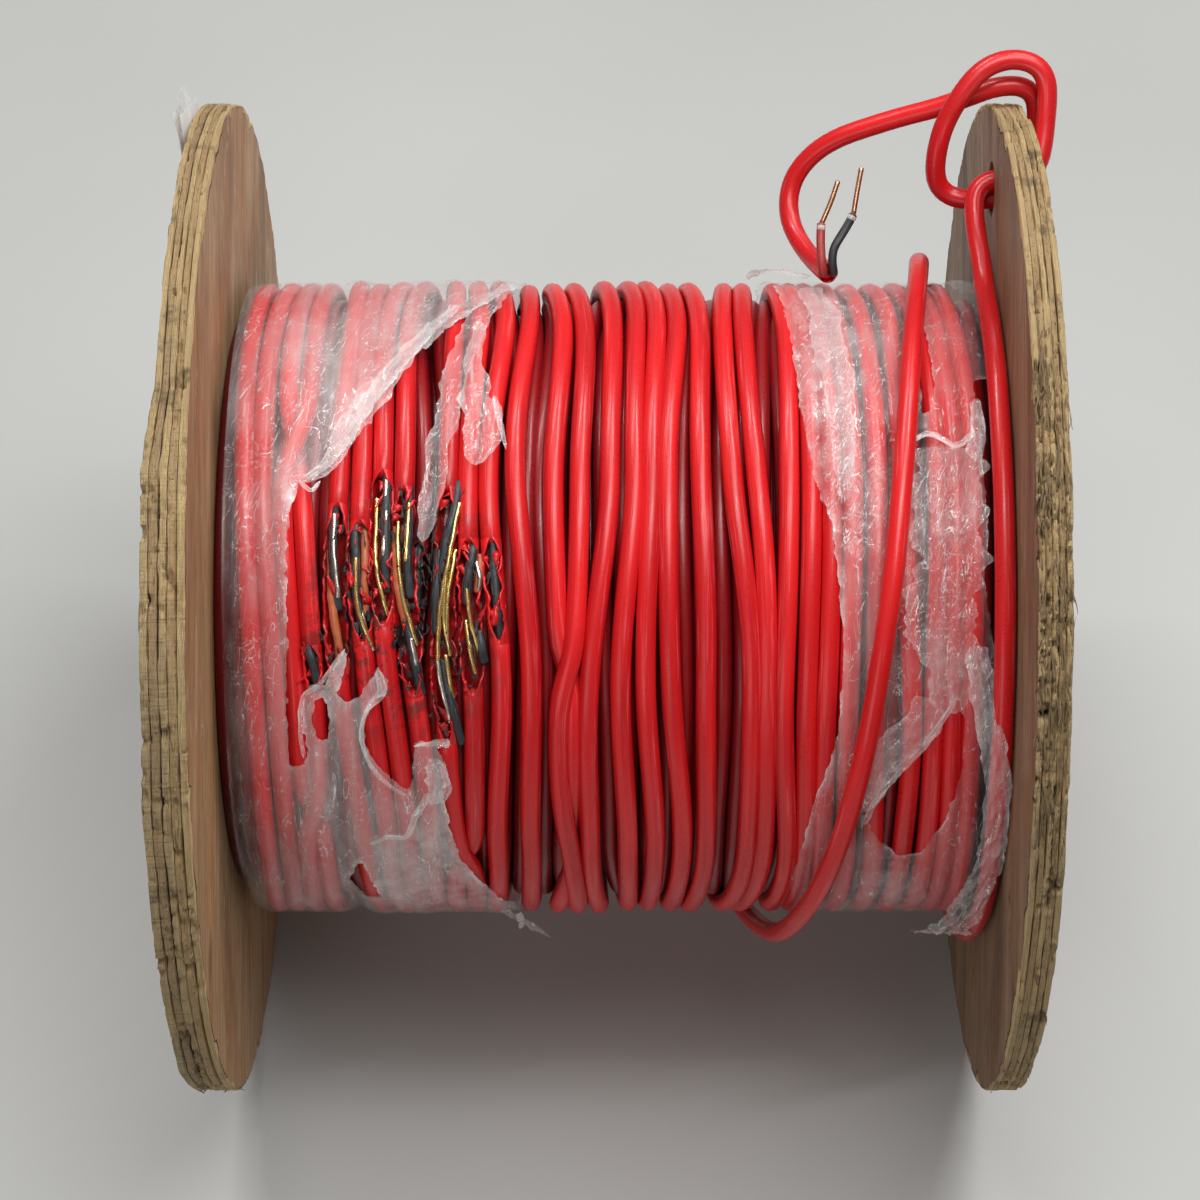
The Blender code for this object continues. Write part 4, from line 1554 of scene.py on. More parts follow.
@dataclass
class Wounds:
    """The torn stretch of the winding: split jackets, the strands inside them, shards and char."""

    winding: Winding
    x: np.ndarray
    radius: np.ndarray
    wall: float = 0.0010
    most_lift: float = 3.3
    steps_per_station: int = 8
    columns: int = 26
    shard_count: int = 84
    char_count: int = 200
    seed: int = 7

    def __post_init__(self) -> None:
        """Choose the turn that each wound is torn into."""
        self.turns: list[int] = []
        spacing = FULL_TURN / self.winding.stations
        for wound in WOUND_LIST:
            station = int(round((wound.start + wound.end) / 2 / spacing))
            cost = np.abs(self.x[:, station] - wound.x) - 1.3 * self.radius[:, station]
            for turn in np.argsort(cost):
                if turn not in self.turns:
                    self.turns.append(int(turn))
                    break

    def stations_of(self, wound: Wound) -> tuple[int, int]:
        """The first and last station of a wound."""
        spacing = FULL_TURN / self.winding.stations
        return int(round(wound.start / spacing)), int(round(wound.end / spacing))

    def whole_spans(self, first: int, last: int) -> list[tuple[int, int]]:
        """The stretches of a layer's cable between its wounds.

        Args:
            first: The layer's first turn.
            last: The turn after its last.

        Returns:
            The first point of each stretch and the point after its last.
        """
        stations = self.winding.stations
        cuts = []
        for turn, wound in zip(self.turns, WOUND_LIST):
            if first <= turn < last:
                start, end = self.stations_of(wound)
                cuts.append(((turn - first) * stations + start, (turn - first) * stations + end))
        spans, begin = [], stations // 2
        for start, end in sorted(cuts):
            spans.append((begin, start + 1))
            begin = end
        spans.append((begin, (last - first) * stations - stations // 2))
        return spans

    def place_of(self, turn: int, degrees: np.ndarray | float) -> tuple[np.ndarray, np.ndarray]:
        """Where a turn lies.

        Args:
            turn: The turn's number.
            degrees: Angles round the axis.

        Returns:
            Its places along the axis and its radii at those angles.
        """
        stations = np.arange(self.winding.stations) * FULL_TURN / self.winding.stations
        return np.interp(degrees, stations, self.x[turn]), np.interp(degrees, stations, self.radius[turn])

    def line_of(self, turn: int, start: int, end: int) -> np.ndarray:
        """Divide the centreline of a turn finely.

        Args:
            turn: The turn's number.
            start: The first station.
            end: The last one.

        Returns:
            The centreline's points.
        """
        fine = np.linspace(start, end, (end - start) * self.steps_per_station + 1)
        degrees = fine * FULL_TURN / self.winding.stations
        x, radius = self.place_of(turn, degrees)
        return SIZES.points(x, radius, degrees)

    def add_torn_jacket(self, draft: MeshDraft, turn: int, wound: Wound) -> None:
        """Add a split jacket, closed at both ends and gaping with ragged, curled lips between.

        Args:
            draft: The piece that it is part of.
            turn: Which turn is torn.
            wound: How it is torn.
        """
        line = self.line_of(turn, *self.stations_of(wound))
        count = len(line)
        share = np.linspace(0, 1, count)
        along = distances(line)
        rise = np.clip(np.minimum(share * 4.5, (1 - share) * 5.5), 0, 1) ** 0.8
        lips = []
        for side in (0, 1):
            tear = layered_noise(along * 170, 9.5 * side, self.seed + turn + side, 4)
            slow = lattice_noise(along * 75, 4.5 * side, self.seed + turn + 5)
            gape = np.clip(wound.gape * (1.0 + 0.34 * slow + 0.62 * tear), 3, 155)
            lips.append(np.radians(gape) * rise)
        first, last = lips[0], 2 * np.pi - lips[1]
        column = np.linspace(0, 1, self.columns)
        turned = first[:, None] + (last - first)[:, None] * column[None]
        off_lip = np.minimum(turned - first[:, None], last[:, None] - turned)
        curl_seed = layered_noise(along * 140, 2.0, self.seed + 40 + turn, 2)
        curl = (0.5 + 1.5 * np.abs(curl_seed)) * MM
        lift = curl[:, None] * np.exp(-((off_lip / 0.34) ** 2)) * rise[:, None]
        crumple = 0.00022 * layered_noise(along[:, None] * 420, turned * 2.3, self.seed + turn, 3)
        outer = self.winding.cable_radius + lift + crumple * (0.3 + rise[:, None])
        ring = rings(outward_frames(line), turned)
        shell = line[:, None] + outer[..., None] * ring
        lining = line[:, None] + (outer - self.wall)[..., None] * ring
        loop = np.concatenate([shell, lining[:, ::-1]], axis=1)
        lay_turn = np.concatenate([turned, turned[:, ::-1]], axis=1) / (2 * np.pi)
        lay = stacked(along[:, None], lay_turn, float(turn))
        draft.add(loop, [grid_faces(count, 2 * self.columns, closed=True)], lay)

    def add_strand(self, drafts: dict[int, MeshDraft], turn: int, strand: Strand, number: int) -> None:
        """Add a conductor or bare wire that shows in a wound.

        Args:
            drafts: The piece of each finish.
            turn: The torn turn.
            strand: The strand.
            number: A number of its own, for its kinks.
        """
        route = sorted(strand.route)
        degrees = np.linspace(route[0][0], route[-1][0], 14 * (len(route) - 1))
        curve = spline_through(list(np.array(route)), 14)
        side = np.interp(degrees, curve[:, 0], curve[:, 1])
        lift = np.interp(degrees, curve[:, 0], curve[:, 2])
        kink = 0.35 * layered_noise(degrees * 0.42, number, 90 + number, 2)
        x, radius = self.place_of(turn, degrees)
        x = x + (side + kink) * MM
        radius = radius + (np.minimum(lift, self.most_lift) + 0.6 * kink) * MM
        line = SIZES.points(x, radius, degrees)
        thickness, finish = strand.wire.value
        swell = 1 + 0.08 * lattice_noise(degrees * 0.8, 0, 60 + number)
        add_tube(drafts[finish], line, thickness * swell, outward_frames(line), 12)

    def add_shards(self, draft: MeshDraft) -> None:
        """Add the torn ribbons of jacket at the ends and lips of the wounds."""
        chance = np.random.RandomState(self.seed)
        for number in range(self.shard_count):
            wound_number = number % len(WOUND_LIST)
            wound, turn = WOUND_LIST[wound_number], self.turns[wound_number]
            at_top = chance.rand() < 0.5
            degrees = wound.end - chance.uniform(0, 5) if at_top else wound.start + chance.uniform(0, 5)
            if chance.rand() < 0.35:
                degrees = chance.uniform(wound.start + 3, wound.end - 3)
            x, radius = self.place_of(turn, degrees)
            x = x + chance.uniform(-3.4, 3.4) * MM
            radius = radius + chance.uniform(1.8, 3.2) * MM
            toward = -1.0 if at_top else 1.0
            sideways, outward = chance.uniform(-0.8, 0.8), chance.uniform(0.0, 0.35)
            heading = (sideways, outward, toward * chance.uniform(0.4, 1.2))
            size = (chance.uniform(2.5, 8.0), chance.uniform(1.0, 3.6), chance.uniform(0.4, 0.8))
            add_ribbon(draft, (x, radius, degrees), heading, size, 300 + number)

    def add_char(self, draft: MeshDraft) -> None:
        """Add burnt flakes and crumbs on and between the torn jackets."""
        chance = np.random.RandomState(self.seed + 1)
        for number in range(self.char_count):
            wound_number = chance.choice([0, 1, 2, 3, 3, 4, 4, 4, 4, 5, 5, 6, 7])
            wound, turn = WOUND_LIST[wound_number], self.turns[wound_number]
            degrees = chance.uniform(wound.start + 1, wound.end - 1)
            x, radius = self.place_of(turn, degrees)
            x = x + chance.normal(0, 2.6) * MM
            radius = radius + chance.uniform(0.4, 3.4) * MM
            heading = (chance.uniform(-0.5, 0.5), chance.uniform(0, 0.5), chance.choice([-1.0, 1.0]))
            size = (chance.uniform(1.2, 6.5), chance.uniform(0.5, 2.0), chance.uniform(0.3, 0.9))
            add_ribbon(draft, (x, radius, degrees), heading, size, 600 + number)

    def build(self) -> list[Piece]:
        """Build the wounds.

        Returns:
            Their pieces.
        """
        torn, shards, char = MeshDraft(), MeshDraft(), MeshDraft()
        drafts = {wire.value[1]: MeshDraft() for wire in Wire}
        number = 0
        for turn, wound in zip(self.turns, WOUND_LIST):
            self.add_torn_jacket(torn, turn, wound)
            for strand in wound.strands:
                self.add_strand(drafts, turn, strand, number)
                number += 1
        self.add_shards(shards)
        self.add_char(char)
        made = (
            (torn, "torn_jackets", RED_JACKET, "red_jacket"),
            (shards, "jacket_shards", RED_JACKET, "red_jacket"),
            (char, "char_flakes", CHAR, "black_insulation"),
            (drafts[1], "torn_black_conductors", BLACK_INSULATION, "black_insulation"),
            (drafts[2], "torn_red_conductors", ORANGE_INSULATION, "red_insulation"),
            (drafts[3], "torn_golden_wires", GOLDEN_WIRE, "copper"),
            (drafts[4], "torn_silver_wires", SILVER_WIRE, "copper"),
        )
        pieces = []
        for draft, name, finish, slot in made:
            piece = draft.piece(name, [finish])
            pieces.append(piece)
        return pieces


WINDING = Winding()
TURNS = WINDING.settle()


@dataclass(frozen=True)
class FilmStrip:
    """A loose strip or fold of film. Its route has its place along the axis in millimetres, its
    angle, how far it stands off the winding and half its width, both in millimetres."""

    route: tuple[tuple[float, float, float, float], ...]
    crumple: float
    milk: float
    seed: int


@dataclass
class FilmWrap:
    """Stretch film round one end of the winding, with its tears, holes and loose strips.

    Outlines are in millimetres along the axis and degrees round it.
    """

    name: str
    node: str
    inner_edge: float
    outer_edge: float
    flat: Place
    openings: tuple[tuple[Place, ...], ...]
    milky: tuple[tuple[Place, ...], ...]
    crumpled: tuple[tuple[float, float, float, float], ...]
    strips: tuple[FilmStrip, ...]
    seed: int
    haze: float = 0.40
    cell: float = 1.15
    columns: int = 720
    stand_off: float = 0.00035
    ceiling: float = 0.13415
    bridge: float = 0.040
    arc_per_degree: float = 2.3126

    def edge_distance(self, x: np.ndarray, degrees: np.ndarray, outline: tuple[Place, ...]) -> np.ndarray:
        """How far each place lies outside an outline, negative inside it, in millimetres.

        Args:
            x: Places along the axis in millimetres.
            degrees: Angles round it.
            outline: The outline's corners.

        Returns:
            The distances.
        """
        best = np.full(x.shape, 1e9)
        inside = np.zeros(x.shape, bool)
        arc = degrees * self.arc_per_degree
        corners = [(a, b * self.arc_per_degree) for a, b in outline]
        for (ax, ay), (bx, by) in zip(corners, corners[1:] + corners[:1]):
            way_x, way_y = bx - ax, by - ay
            run = (x - ax) * way_x + (arc - ay) * way_y
            share = np.clip(run / (way_x**2 + way_y**2 + 1e-9), 0, 1)
            best = np.minimum(best, np.hypot(x - ax - share * way_x, arc - ay - share * way_y))
            spans = (ay > arc) != (by > arc)
            crossing = ax + (arc - ay) * way_x / (way_y if abs(way_y) > 1e-9 else 1e-9)
            inside ^= spans & (x < crossing)
        return np.where(inside, -best, best)

    def surface(self, places: np.ndarray, degrees: np.ndarray) -> np.ndarray:
        """The radius at which tight film lies on the turns below it.

        Args:
            places: Places along the axis, in metres.
            degrees: Angles round it.

        Returns:
            One row a place, one column an angle.
        """
        top = WINDING.outline(*TURNS, places)
        step = self.cell
        reach = int(7 / step)
        bridged = top.copy()
        for shift in range(-reach, reach + 1):
            drop = self.bridge * (shift * step) ** 2 * MM
            moved = np.roll(top, shift, axis=0)
            if shift > 0:
                moved[:shift] = 0
            elif shift < 0:
                moved[shift:] = 0
            bridged = np.maximum(bridged, moved - drop)
        for _ in range(2):
            bridged = (np.roll(bridged, 1, 1) + 2 * bridged + np.roll(bridged, -1, 1)) / 4
        wrapped = np.concatenate([bridged, bridged[:, :1]], axis=1)
        stations = np.linspace(0, FULL_TURN, wrapped.shape[1])
        turned = np.mod(degrees, FULL_TURN)
        return np.stack([np.interp(turned, stations, row) for row in wrapped])

    def add_wrap(self, draft: MeshDraft) -> None:
        """Add the wrapped film, cut away inside its openings.

        Args:
            draft: The piece that it is part of.
        """
        count = int(abs(self.outer_edge - self.inner_edge) / self.cell)
        places = np.linspace(self.inner_edge, self.outer_edge, count)
        degrees = -60 + np.arange(self.columns) * FULL_TURN / self.columns
        x, turned = np.meshgrid(places, degrees, indexing="ij")
        arc = turned * self.arc_per_degree
        ragged = 0.9 * layered_noise(x / 2.6, arc / 2.6, self.seed, 3, 320)
        away = 6 + 2.5 * layered_noise(arc / 14, 3, self.seed + 4, 3)
        border = (self.outer_edge - x) if self.outer_edge > self.inner_edge else (x - self.outer_edge)
        margin = border - np.where(np.abs(self.outer_edge) < 100, away * 0.5, 0.0)
        for outline in self.openings:
            for lap in (0, FULL_TURN):
                margin = np.minimum(margin, self.edge_distance(x, turned - lap, outline))
        margin = margin + ragged
        slope_x, slope_arc = np.gradient(
            margin, abs(places[1] - places[0]), FULL_TURN / self.columns * self.arc_per_degree
        )
        steep = np.maximum(np.hypot(slope_x, slope_arc), 0.5)
        pull = np.where(margin < 0, np.clip(-margin, 0, 1.5) / steep**2, 0)
        sign = 1.0 if self.outer_edge > self.inner_edge else -1.0
        pulled_x = x + pull * slope_x * sign
        pulled_degrees = turned + pull * slope_arc / self.arc_per_degree
        tight = self.surface(places * MM, degrees)
        rough = np.full(x.shape, 0.20)
        for centre, angle, width, amount in self.crumpled:
            off = ((x - centre) / width) ** 2 + ((arc - angle * self.arc_per_degree) / (1.7 * width)) ** 2
            rough = rough + amount * np.exp(-off)
        slanted = layered_noise((x + 0.45 * arc) / 5.0, (arc - 0.2 * x) / 11.0, self.seed + 20, 4)
        crossed = layered_noise((x - 0.7 * arc) / 3.2, arc / 6.0, self.seed + 30, 3)
        folds = 1 - np.abs(slanted) * 2.2 + 0.7 * (0.5 - np.abs(crossed))
        lip = np.exp(-np.clip(margin, 0, None) / 1.1)
        curl = 0.7 * lip * (0.5 + 0.5 * layered_noise(x / 4, arc / 4, self.seed + 50, 2))
        radius = tight + self.stand_off + (rough * np.clip(folds, 0, None) * 0.75 + curl) * MM
        radius = np.minimum(radius, self.ceiling + 0.0002 * slanted)
        points = SIZES.points(pulled_x * MM, radius, pulled_degrees)
        gather = lip * np.clip(0.30 + 1.5 * layered_noise(x / 5, arc / 9, self.seed + 60, 3), 0.05, 1)
        milk = self.haze + 0.40 * layered_noise(x / 14, arc / 26, self.seed + 70, 3)
        milk = milk - 0.5 * np.clip((np.abs(x) - 124) / 12, 0, 1)
        milk = milk + 0.55 * np.clip(layered_noise(x / 1.9, arc / 24, self.seed + 75, 3), 0, 1)
        for outline in self.milky:
            inner = -self.edge_distance(x, turned, outline)
            clouded = np.clip(0.7 + 0.9 * crossed + 0.5 * slanted, 0, 1.5)
            milk = milk + 0.50 * np.clip(inner / 3.0, 0, 1) * clouded
        milk = milk + 0.12 * (rough - 0.2) * np.clip(folds, 0, 1.5)
        lay = np.stack([np.clip(gather, 0, 1), np.clip(milk, -0.1, 1.4), rough], axis=-1)
        quads = grid_faces(count, self.columns, closed=True)
        quads = quads[margin.ravel()[quads].max(1) > 0]
        used, renamed = np.unique(quads, return_inverse=True)
        quads = renamed.reshape(quads.shape)
        quads = quads if self.outer_edge < self.inner_edge else quads[:, ::-1]
        draft.add(points.reshape(-1, 3)[used], [quads], lay.reshape(-1, 3)[used])

    def add_strip(self, draft: MeshDraft, strip: FilmStrip) -> None:
        """Add a loose, crumpled strip of film.

        Args:
            draft: The piece that it is part of.
            strip: The strip.
        """
        knots = np.array(strip.route)
        curve = spline_through(list(knots), 24)
        run = distances(np.stack([curve[:, 0], curve[:, 1] * self.arc_per_degree, curve[:, 2]], 1))
        count = max(12, int(run[-1] / 0.8))
        even = np.linspace(0, run[-1], count)
        x, degrees, lift, half = (np.interp(even, run, curve[:, part]) for part in range(4))
        columns = max(9, int(2 * half.max() / 0.8))
        column = np.linspace(-1, 1, columns)
        way_x, way_arc = np.gradient(x), np.gradient(degrees * self.arc_per_degree)
        size = np.hypot(way_x, way_arc) + 1e-9
        wide = layered_noise(even / 9.0, 0, strip.seed, 3)[:, None]
        frayed = layered_noise(even / 3.1, 5.5, strip.seed + 2, 2)[:, None]
        ragged = 1 + 0.45 * wide * np.sign(column) + 0.08 * frayed * column
        ends = np.clip(np.minimum(even, run[-1] - even) / 2.5 + 0.25, 0, 1)[:, None]
        off = half[:, None] * column[None] * ragged * ends
        wave_x, wave_y = even[:, None] + 0 * off, off
        fold = layered_noise(wave_y / 1.7 + wave_x / 19, wave_x / 17, strip.seed + 5, 3)
        crush = layered_noise(wave_x / 4.2 + wave_y / 6, wave_y / 3.0, strip.seed + 9, 4)
        rise = strip.crumple * (1.2 * np.abs(fold) + 0.9 * crush)
        side = 0.30 * strip.crumple * layered_noise(wave_x / 7, wave_y / 5, strip.seed + 13, 2)
        place_x = x[:, None] - off * (way_arc / size)[:, None] + side
        place_arc = (degrees * self.arc_per_degree)[:, None] + off * (way_x / size)[:, None]
        radius = SIZES.winding_radius + (lift[:, None] + rise + 0.5) * MM
        points = SIZES.points(place_x * MM, radius, place_arc / self.arc_per_degree)
        rim = np.exp(-(1 - np.abs(column)) * half[:, None] / 0.8)
        crushed = 0.7 * np.clip(crush - 0.2, 0, 1) * strip.milk
        gather = np.clip(rim * (0.15 + 0.5 * np.abs(frayed)) + crushed, 0, 1)
        streak = np.clip(1.7 * layered_noise(wave_y / 0.9, wave_x / 16, strip.seed + 17, 3), -0.5, 1)
        milk = np.clip(strip.milk * (0.45 + 0.9 * np.abs(fold) + 0.8 * streak), 0, 1.3)
        lay = stacked(gather, milk, strip.crumple)
        draft.add(points, [grid_faces(count, columns)], lay)

    def build(self) -> Piece:
        """Returns:
            The piece.
        """
        draft = MeshDraft()
        self.add_wrap(draft)
        for strip in self.strips:
            self.add_strip(draft, strip)
        piece = draft.piece(self.name, [STRETCH_FILM])
        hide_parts(self.node)
        return piece


LEFT_WRAP = FilmWrap(
    name="left_film_wrap",
    node="film_left",
    inner_edge=-147.8,
    outer_edge=-33,
    flat=(0.117, 0.836),
    openings=(
        (
            (-37, 124.5), (-44.8, 117.4), (-56.2, 109.1), (-67.4, 102.2), (-74.8, 97.9), (-83.8, 90.3),
            (-92, 83.8), (-99.9, 76.9), (-105.3, 72.8), (-111.6, 71.4), (-118.3, 69.9), (-121.5, 65),
            (-123, 56), (-122.4, 45), (-123.6, 30), (-123.1, 20), (-118.4, 20.6), (-116.2, 23.5),
            (-117.6, 27), (-117.8, 31.5), (-114.6, 35.2), (-108.6, 35.4), (-105.2, 38.4), (-101, 41.4),
            (-100, 38.6), (-104, 33.9), (-101.1, 32.4), (-96.2, 33.2), (-90.4, 36.4), (-88.4, 38.4),
            (-84.6, 36), (-86.2, 33.4), (-91.4, 32), (-94.3, 28.5), (-94.1, 24.8), (-90.8, 21.4),
            (-87.4, 19), (-82.8, 17), (-77.6, 15.2), (-76.4, 18), (-75.4, 24.8), (-61.6, 25.8),
            (-62.6, 24), (-66.2, 23.7), (-63.9, 21), (-61.6, 17), (-65, 15.5), (-64, 11.7), (-62, 5.8),
            (-59.3, 0.5), (-52.1, -7.6), (-44.8, -16.3), (-38.9, -22), (-34, -40), (-20, -42), (-20, 126),
        ),
        (
            (-113, 32.6), (-109.8, 33.2), (-107.9, 31.8), (-107.2, 28.5), (-107.8, 26), (-109.6, 25),
            (-112.4, 26.2), (-113.9, 29.4),
        ),
        ((-104, -9), (-98.5, -2), (-94.6, -10), (-92, -17), (-99, -16)),
    ),
    milky=(
        (
            (-95, 3.4), (-88, 5.4), (-81.4, 5.4), (-77.2, 8.6), (-73.9, 12), (-70.5, 16), (-61, 18),
            (-58, 0), (-36, -20), (-34, -58), (-92, -58),
        ),
        ((-118, 72), (-106, 82), (-88, 98), (-66, 112), (-38, 126), (-30, 120),
         (-60, 100), (-80, 90), (-104, 70)),
    ),
    crumpled=((-95, 92, 16, 0.55), (-60, 108, 12, 0.65), (-108, 14, 10, 0.4), (-72, 4, 14, 0.6),
              (-128, 60, 6, 0.5), (-100, 180, 20, 0.5), (-60, 240, 18, 0.5)),
    strips=(
        FilmStrip(((-41, 121, 0.6, 3.2), (-50, 108, 1.2, 4.6), (-58, 93, 1.6, 5), (-65, 78, 1.9, 4.4),
                   (-69, 66, 2, 4), (-71.5, 59, 1.4, 2)), 0.55, 0.2, 101),
        FilmStrip(((-52, 104, 1, 2.4), (-53, 92, 1.6, 3.6), (-51.5, 84, 2, 6.5), (-48.5, 77.5, 2.2, 7.5),
                   (-52, 72, 1.2, 3)), 0.9, 0.5, 102),
        FilmStrip(((-45, 85, 2, 1.2), (-42.4, 79, 2.6, 1), (-40.2, 74.6, 2.4, 0.5)), 0.4, 0.6, 103),
        FilmStrip(((-60, 110, 1, 1.6), (-80, 94.5, 1.5, 3.6), (-96, 81, 1.9, 5.2), (-106, 73, 1.6, 3.4),
                   (-117, 69, 1, 1.4)), 0.8, 0.5, 104),
        FilmStrip(((-118.5, 69.5, 0.8, 0.8), (-114, 67.6, 1.3, 0.8), (-110.4, 69.2, 1, 0.7)), 0.4, 1, 105),
        FilmStrip(((-117.6, 22.6, 1, 0.8), (-118.2, 28, 1.5, 0.9), (-116.6, 33.4, 1.6, 0.9),
                   (-111, 35.6, 1.4, 0.9), (-105.6, 38.6, 1.4, 0.8), (-100.6, 41.6, 1, 0.6)), 0.55, 0.9, 106),
        FilmStrip(((-88.2, 38.2, 1.3, 1.4), (-86.4, 34.4, 1.7, 1.8), (-92.6, 31.6, 1.5, 0.9),
                   (-95, 27, 1.4, 0.9), (-93, 22.4, 1.4, 0.9), (-86, 17.8, 1.4, 0.9),
                   (-78, 14.9, 1, 0.7)), 0.5, 0.95, 107),
        FilmStrip(((-75.2, 25, 1.2, 0.7), (-68, 25.4, 1.5, 0.9), (-61, 25.2, 1.2, 0.6)), 0.6, 1, 109),
        FilmStrip(((-69, 22.6, 1.2, 2.6), (-66, 19.6, 1.8, 4.6), (-66, 16.6, 1.8, 4.4),
                   (-69, 13.6, 1.2, 2.2)), 1.3, 1, 111),
        FilmStrip(((-94, 3.8, 1, 0.8), (-87, 6, 1.4, 1.2), (-80, 6.4, 1.5, 1.2), (-75, 11.6, 1.5, 1.3),
                   (-70, 16, 1.3, 1.5)), 0.6, 1, 112),
        FilmStrip(((-44, -20, 0.8, 2), (-36, -27, 2.6, 2.6), (-29.5, -33, 5.5, 2.4), (-25, -38, 9, 0.6)),
                  0.7, 0.5, 113),
        FilmStrip(((-37, -22, 1, 1.6), (-36.6, -27, 3, 1.3), (-37.4, -31, 5, 0.5)), 0.8, 0.95, 114),
    ),
    seed=210,
)  # fmt: skip

RIGHT_WRAP = FilmWrap(
    name="right_film_wrap",
    node="film_right",
    inner_edge=151.9,
    outer_edge=58,
    flat=(0.09, 0.836),
    openings=(
        (
            (50, 150), (61, 141), (65.2, 128), (68.6, 109.1), (72.3, 84.8), (77.1, 69.6), (83, 62.7),
            (86.4, 49.5), (88.1, 41.3), (86.1, 25.7), (78.2, 13.9), (72, -4.1), (70.8, -11.5), (76, -30),
            (72, -58), (50, -58),
        ),
        (
            (131, 33), (134.5, 29), (134, 18), (129, 9), (121, 0), (112, -1), (103.5, 4), (97.5, 10.5),
            (104.5, 17), (118.5, 24.6),
        ),
        (
            (139.4, 90), (141.6, 69.6), (142.8, 59.4), (140.8, 52.8), (143.8, 43), (147, 36), (156, 30),
            (156, 92),
        ),
        ((117, 101), (122.5, 104), (124.5, 88), (120, 80)),
    ),
    milky=(
        ((70, 118), (94, 122), (100, 92), (93, 70), (78, 72)),
        ((96, -6), (124, -6), (132, -44), (84, -44)),
    ),
    crumpled=((84, 96, 15, 1.2), (92, 66, 12, 1), (100, 112, 12, 0.6), (104, -20, 14, 0.5),
              (128, 60, 12, 0.7), (100, 200, 20, 0.6), (120, 260, 16, 0.7)),
    strips=(
        FilmStrip(((127, 75.5, 1, 12.5), (127.5, 66, 1.8, 14), (128, 56, 2, 13), (127, 46, 2, 13.5),
                   (128, 37, 1.6, 10), (131, 31, 1.2, 5)), 1.5, 0.18, 201),
        FilmStrip(((139.6, 84.5, 1.2, 2.2), (139.8, 78, 1.8, 2.8), (137.5, 73, 1.8, 3.6)), 1.2, 0.9, 202),
        FilmStrip(((136, 42, 1.8, 4.5), (141, 34, 6, 5), (145, 25, 11.6, 5.2), (146, 13, 12.6, 5),
                   (144.5, 2, 12.4, 5.6), (141, -10, 11.5, 7.2), (135, -22, 9, 8.6), (127.5, -33, 5, 6.5)),
                  1.3, 0.5, 203),
        FilmStrip(((113.5, 76, 1, 0.8), (121, 77.6, 1.6, 1.2), (131, 75.4, 1.6, 1.2), (139, 78, 1.4, 1)),
                  0.8, 1, 204),
        FilmStrip(((57, 143, 0.8, 2), (62, 136, 2.4, 3.4), (70, 129, 2.6, 4.6), (80, 125, 1.4, 3)),
                  0.9, 0.5, 205),
        FilmStrip(((130.5, 33, 1.4, 1), (118, 24.6, 1.8, 1.2), (104, 16.6, 1.8, 1.3),
                   (97, 9, 1.6, 1.1)), 0.7, 0.5, 206),
        FilmStrip(((122, 33, 1.6, 7), (112, 26, 2, 7.5), (101, 19, 2, 6), (94, 12, 1.6, 4)),
                  1.2, 0.22, 207),
        FilmStrip(((80, 118, 1, 5), (84, 106, 1.6, 6), (86, 92, 1.8, 6.5), (88, 78, 1.6, 5),
                   (89, 66, 1, 2.5)), 0.9, 0.12, 208),
    ),
    seed=410,
    haze=-0.08,
)  # fmt: skip


@dataclass
class FilmWraps:
    """The stretch film round both ends of the winding."""

    wraps: tuple[FilmWrap, FilmWrap] = (LEFT_WRAP, RIGHT_WRAP)

    def build(self) -> list[Piece]:
        """Build both wraps."""
        return [wrap.build() for wrap in self.wraps]


class Side(Enum):
    """Which end of the reel a piece belongs to, as a sign along the axis."""

    LEFT = -1
    RIGHT = 1


@dataclass(frozen=True)
class Bite:
    """Wood lost from a rim: the middle and half the width in degrees, how deep it goes in
    millimetres, and which share of the flange's thickness it takes, from the inner face."""

    degrees: float
    half_width: float
    depth: float
    plies: Place


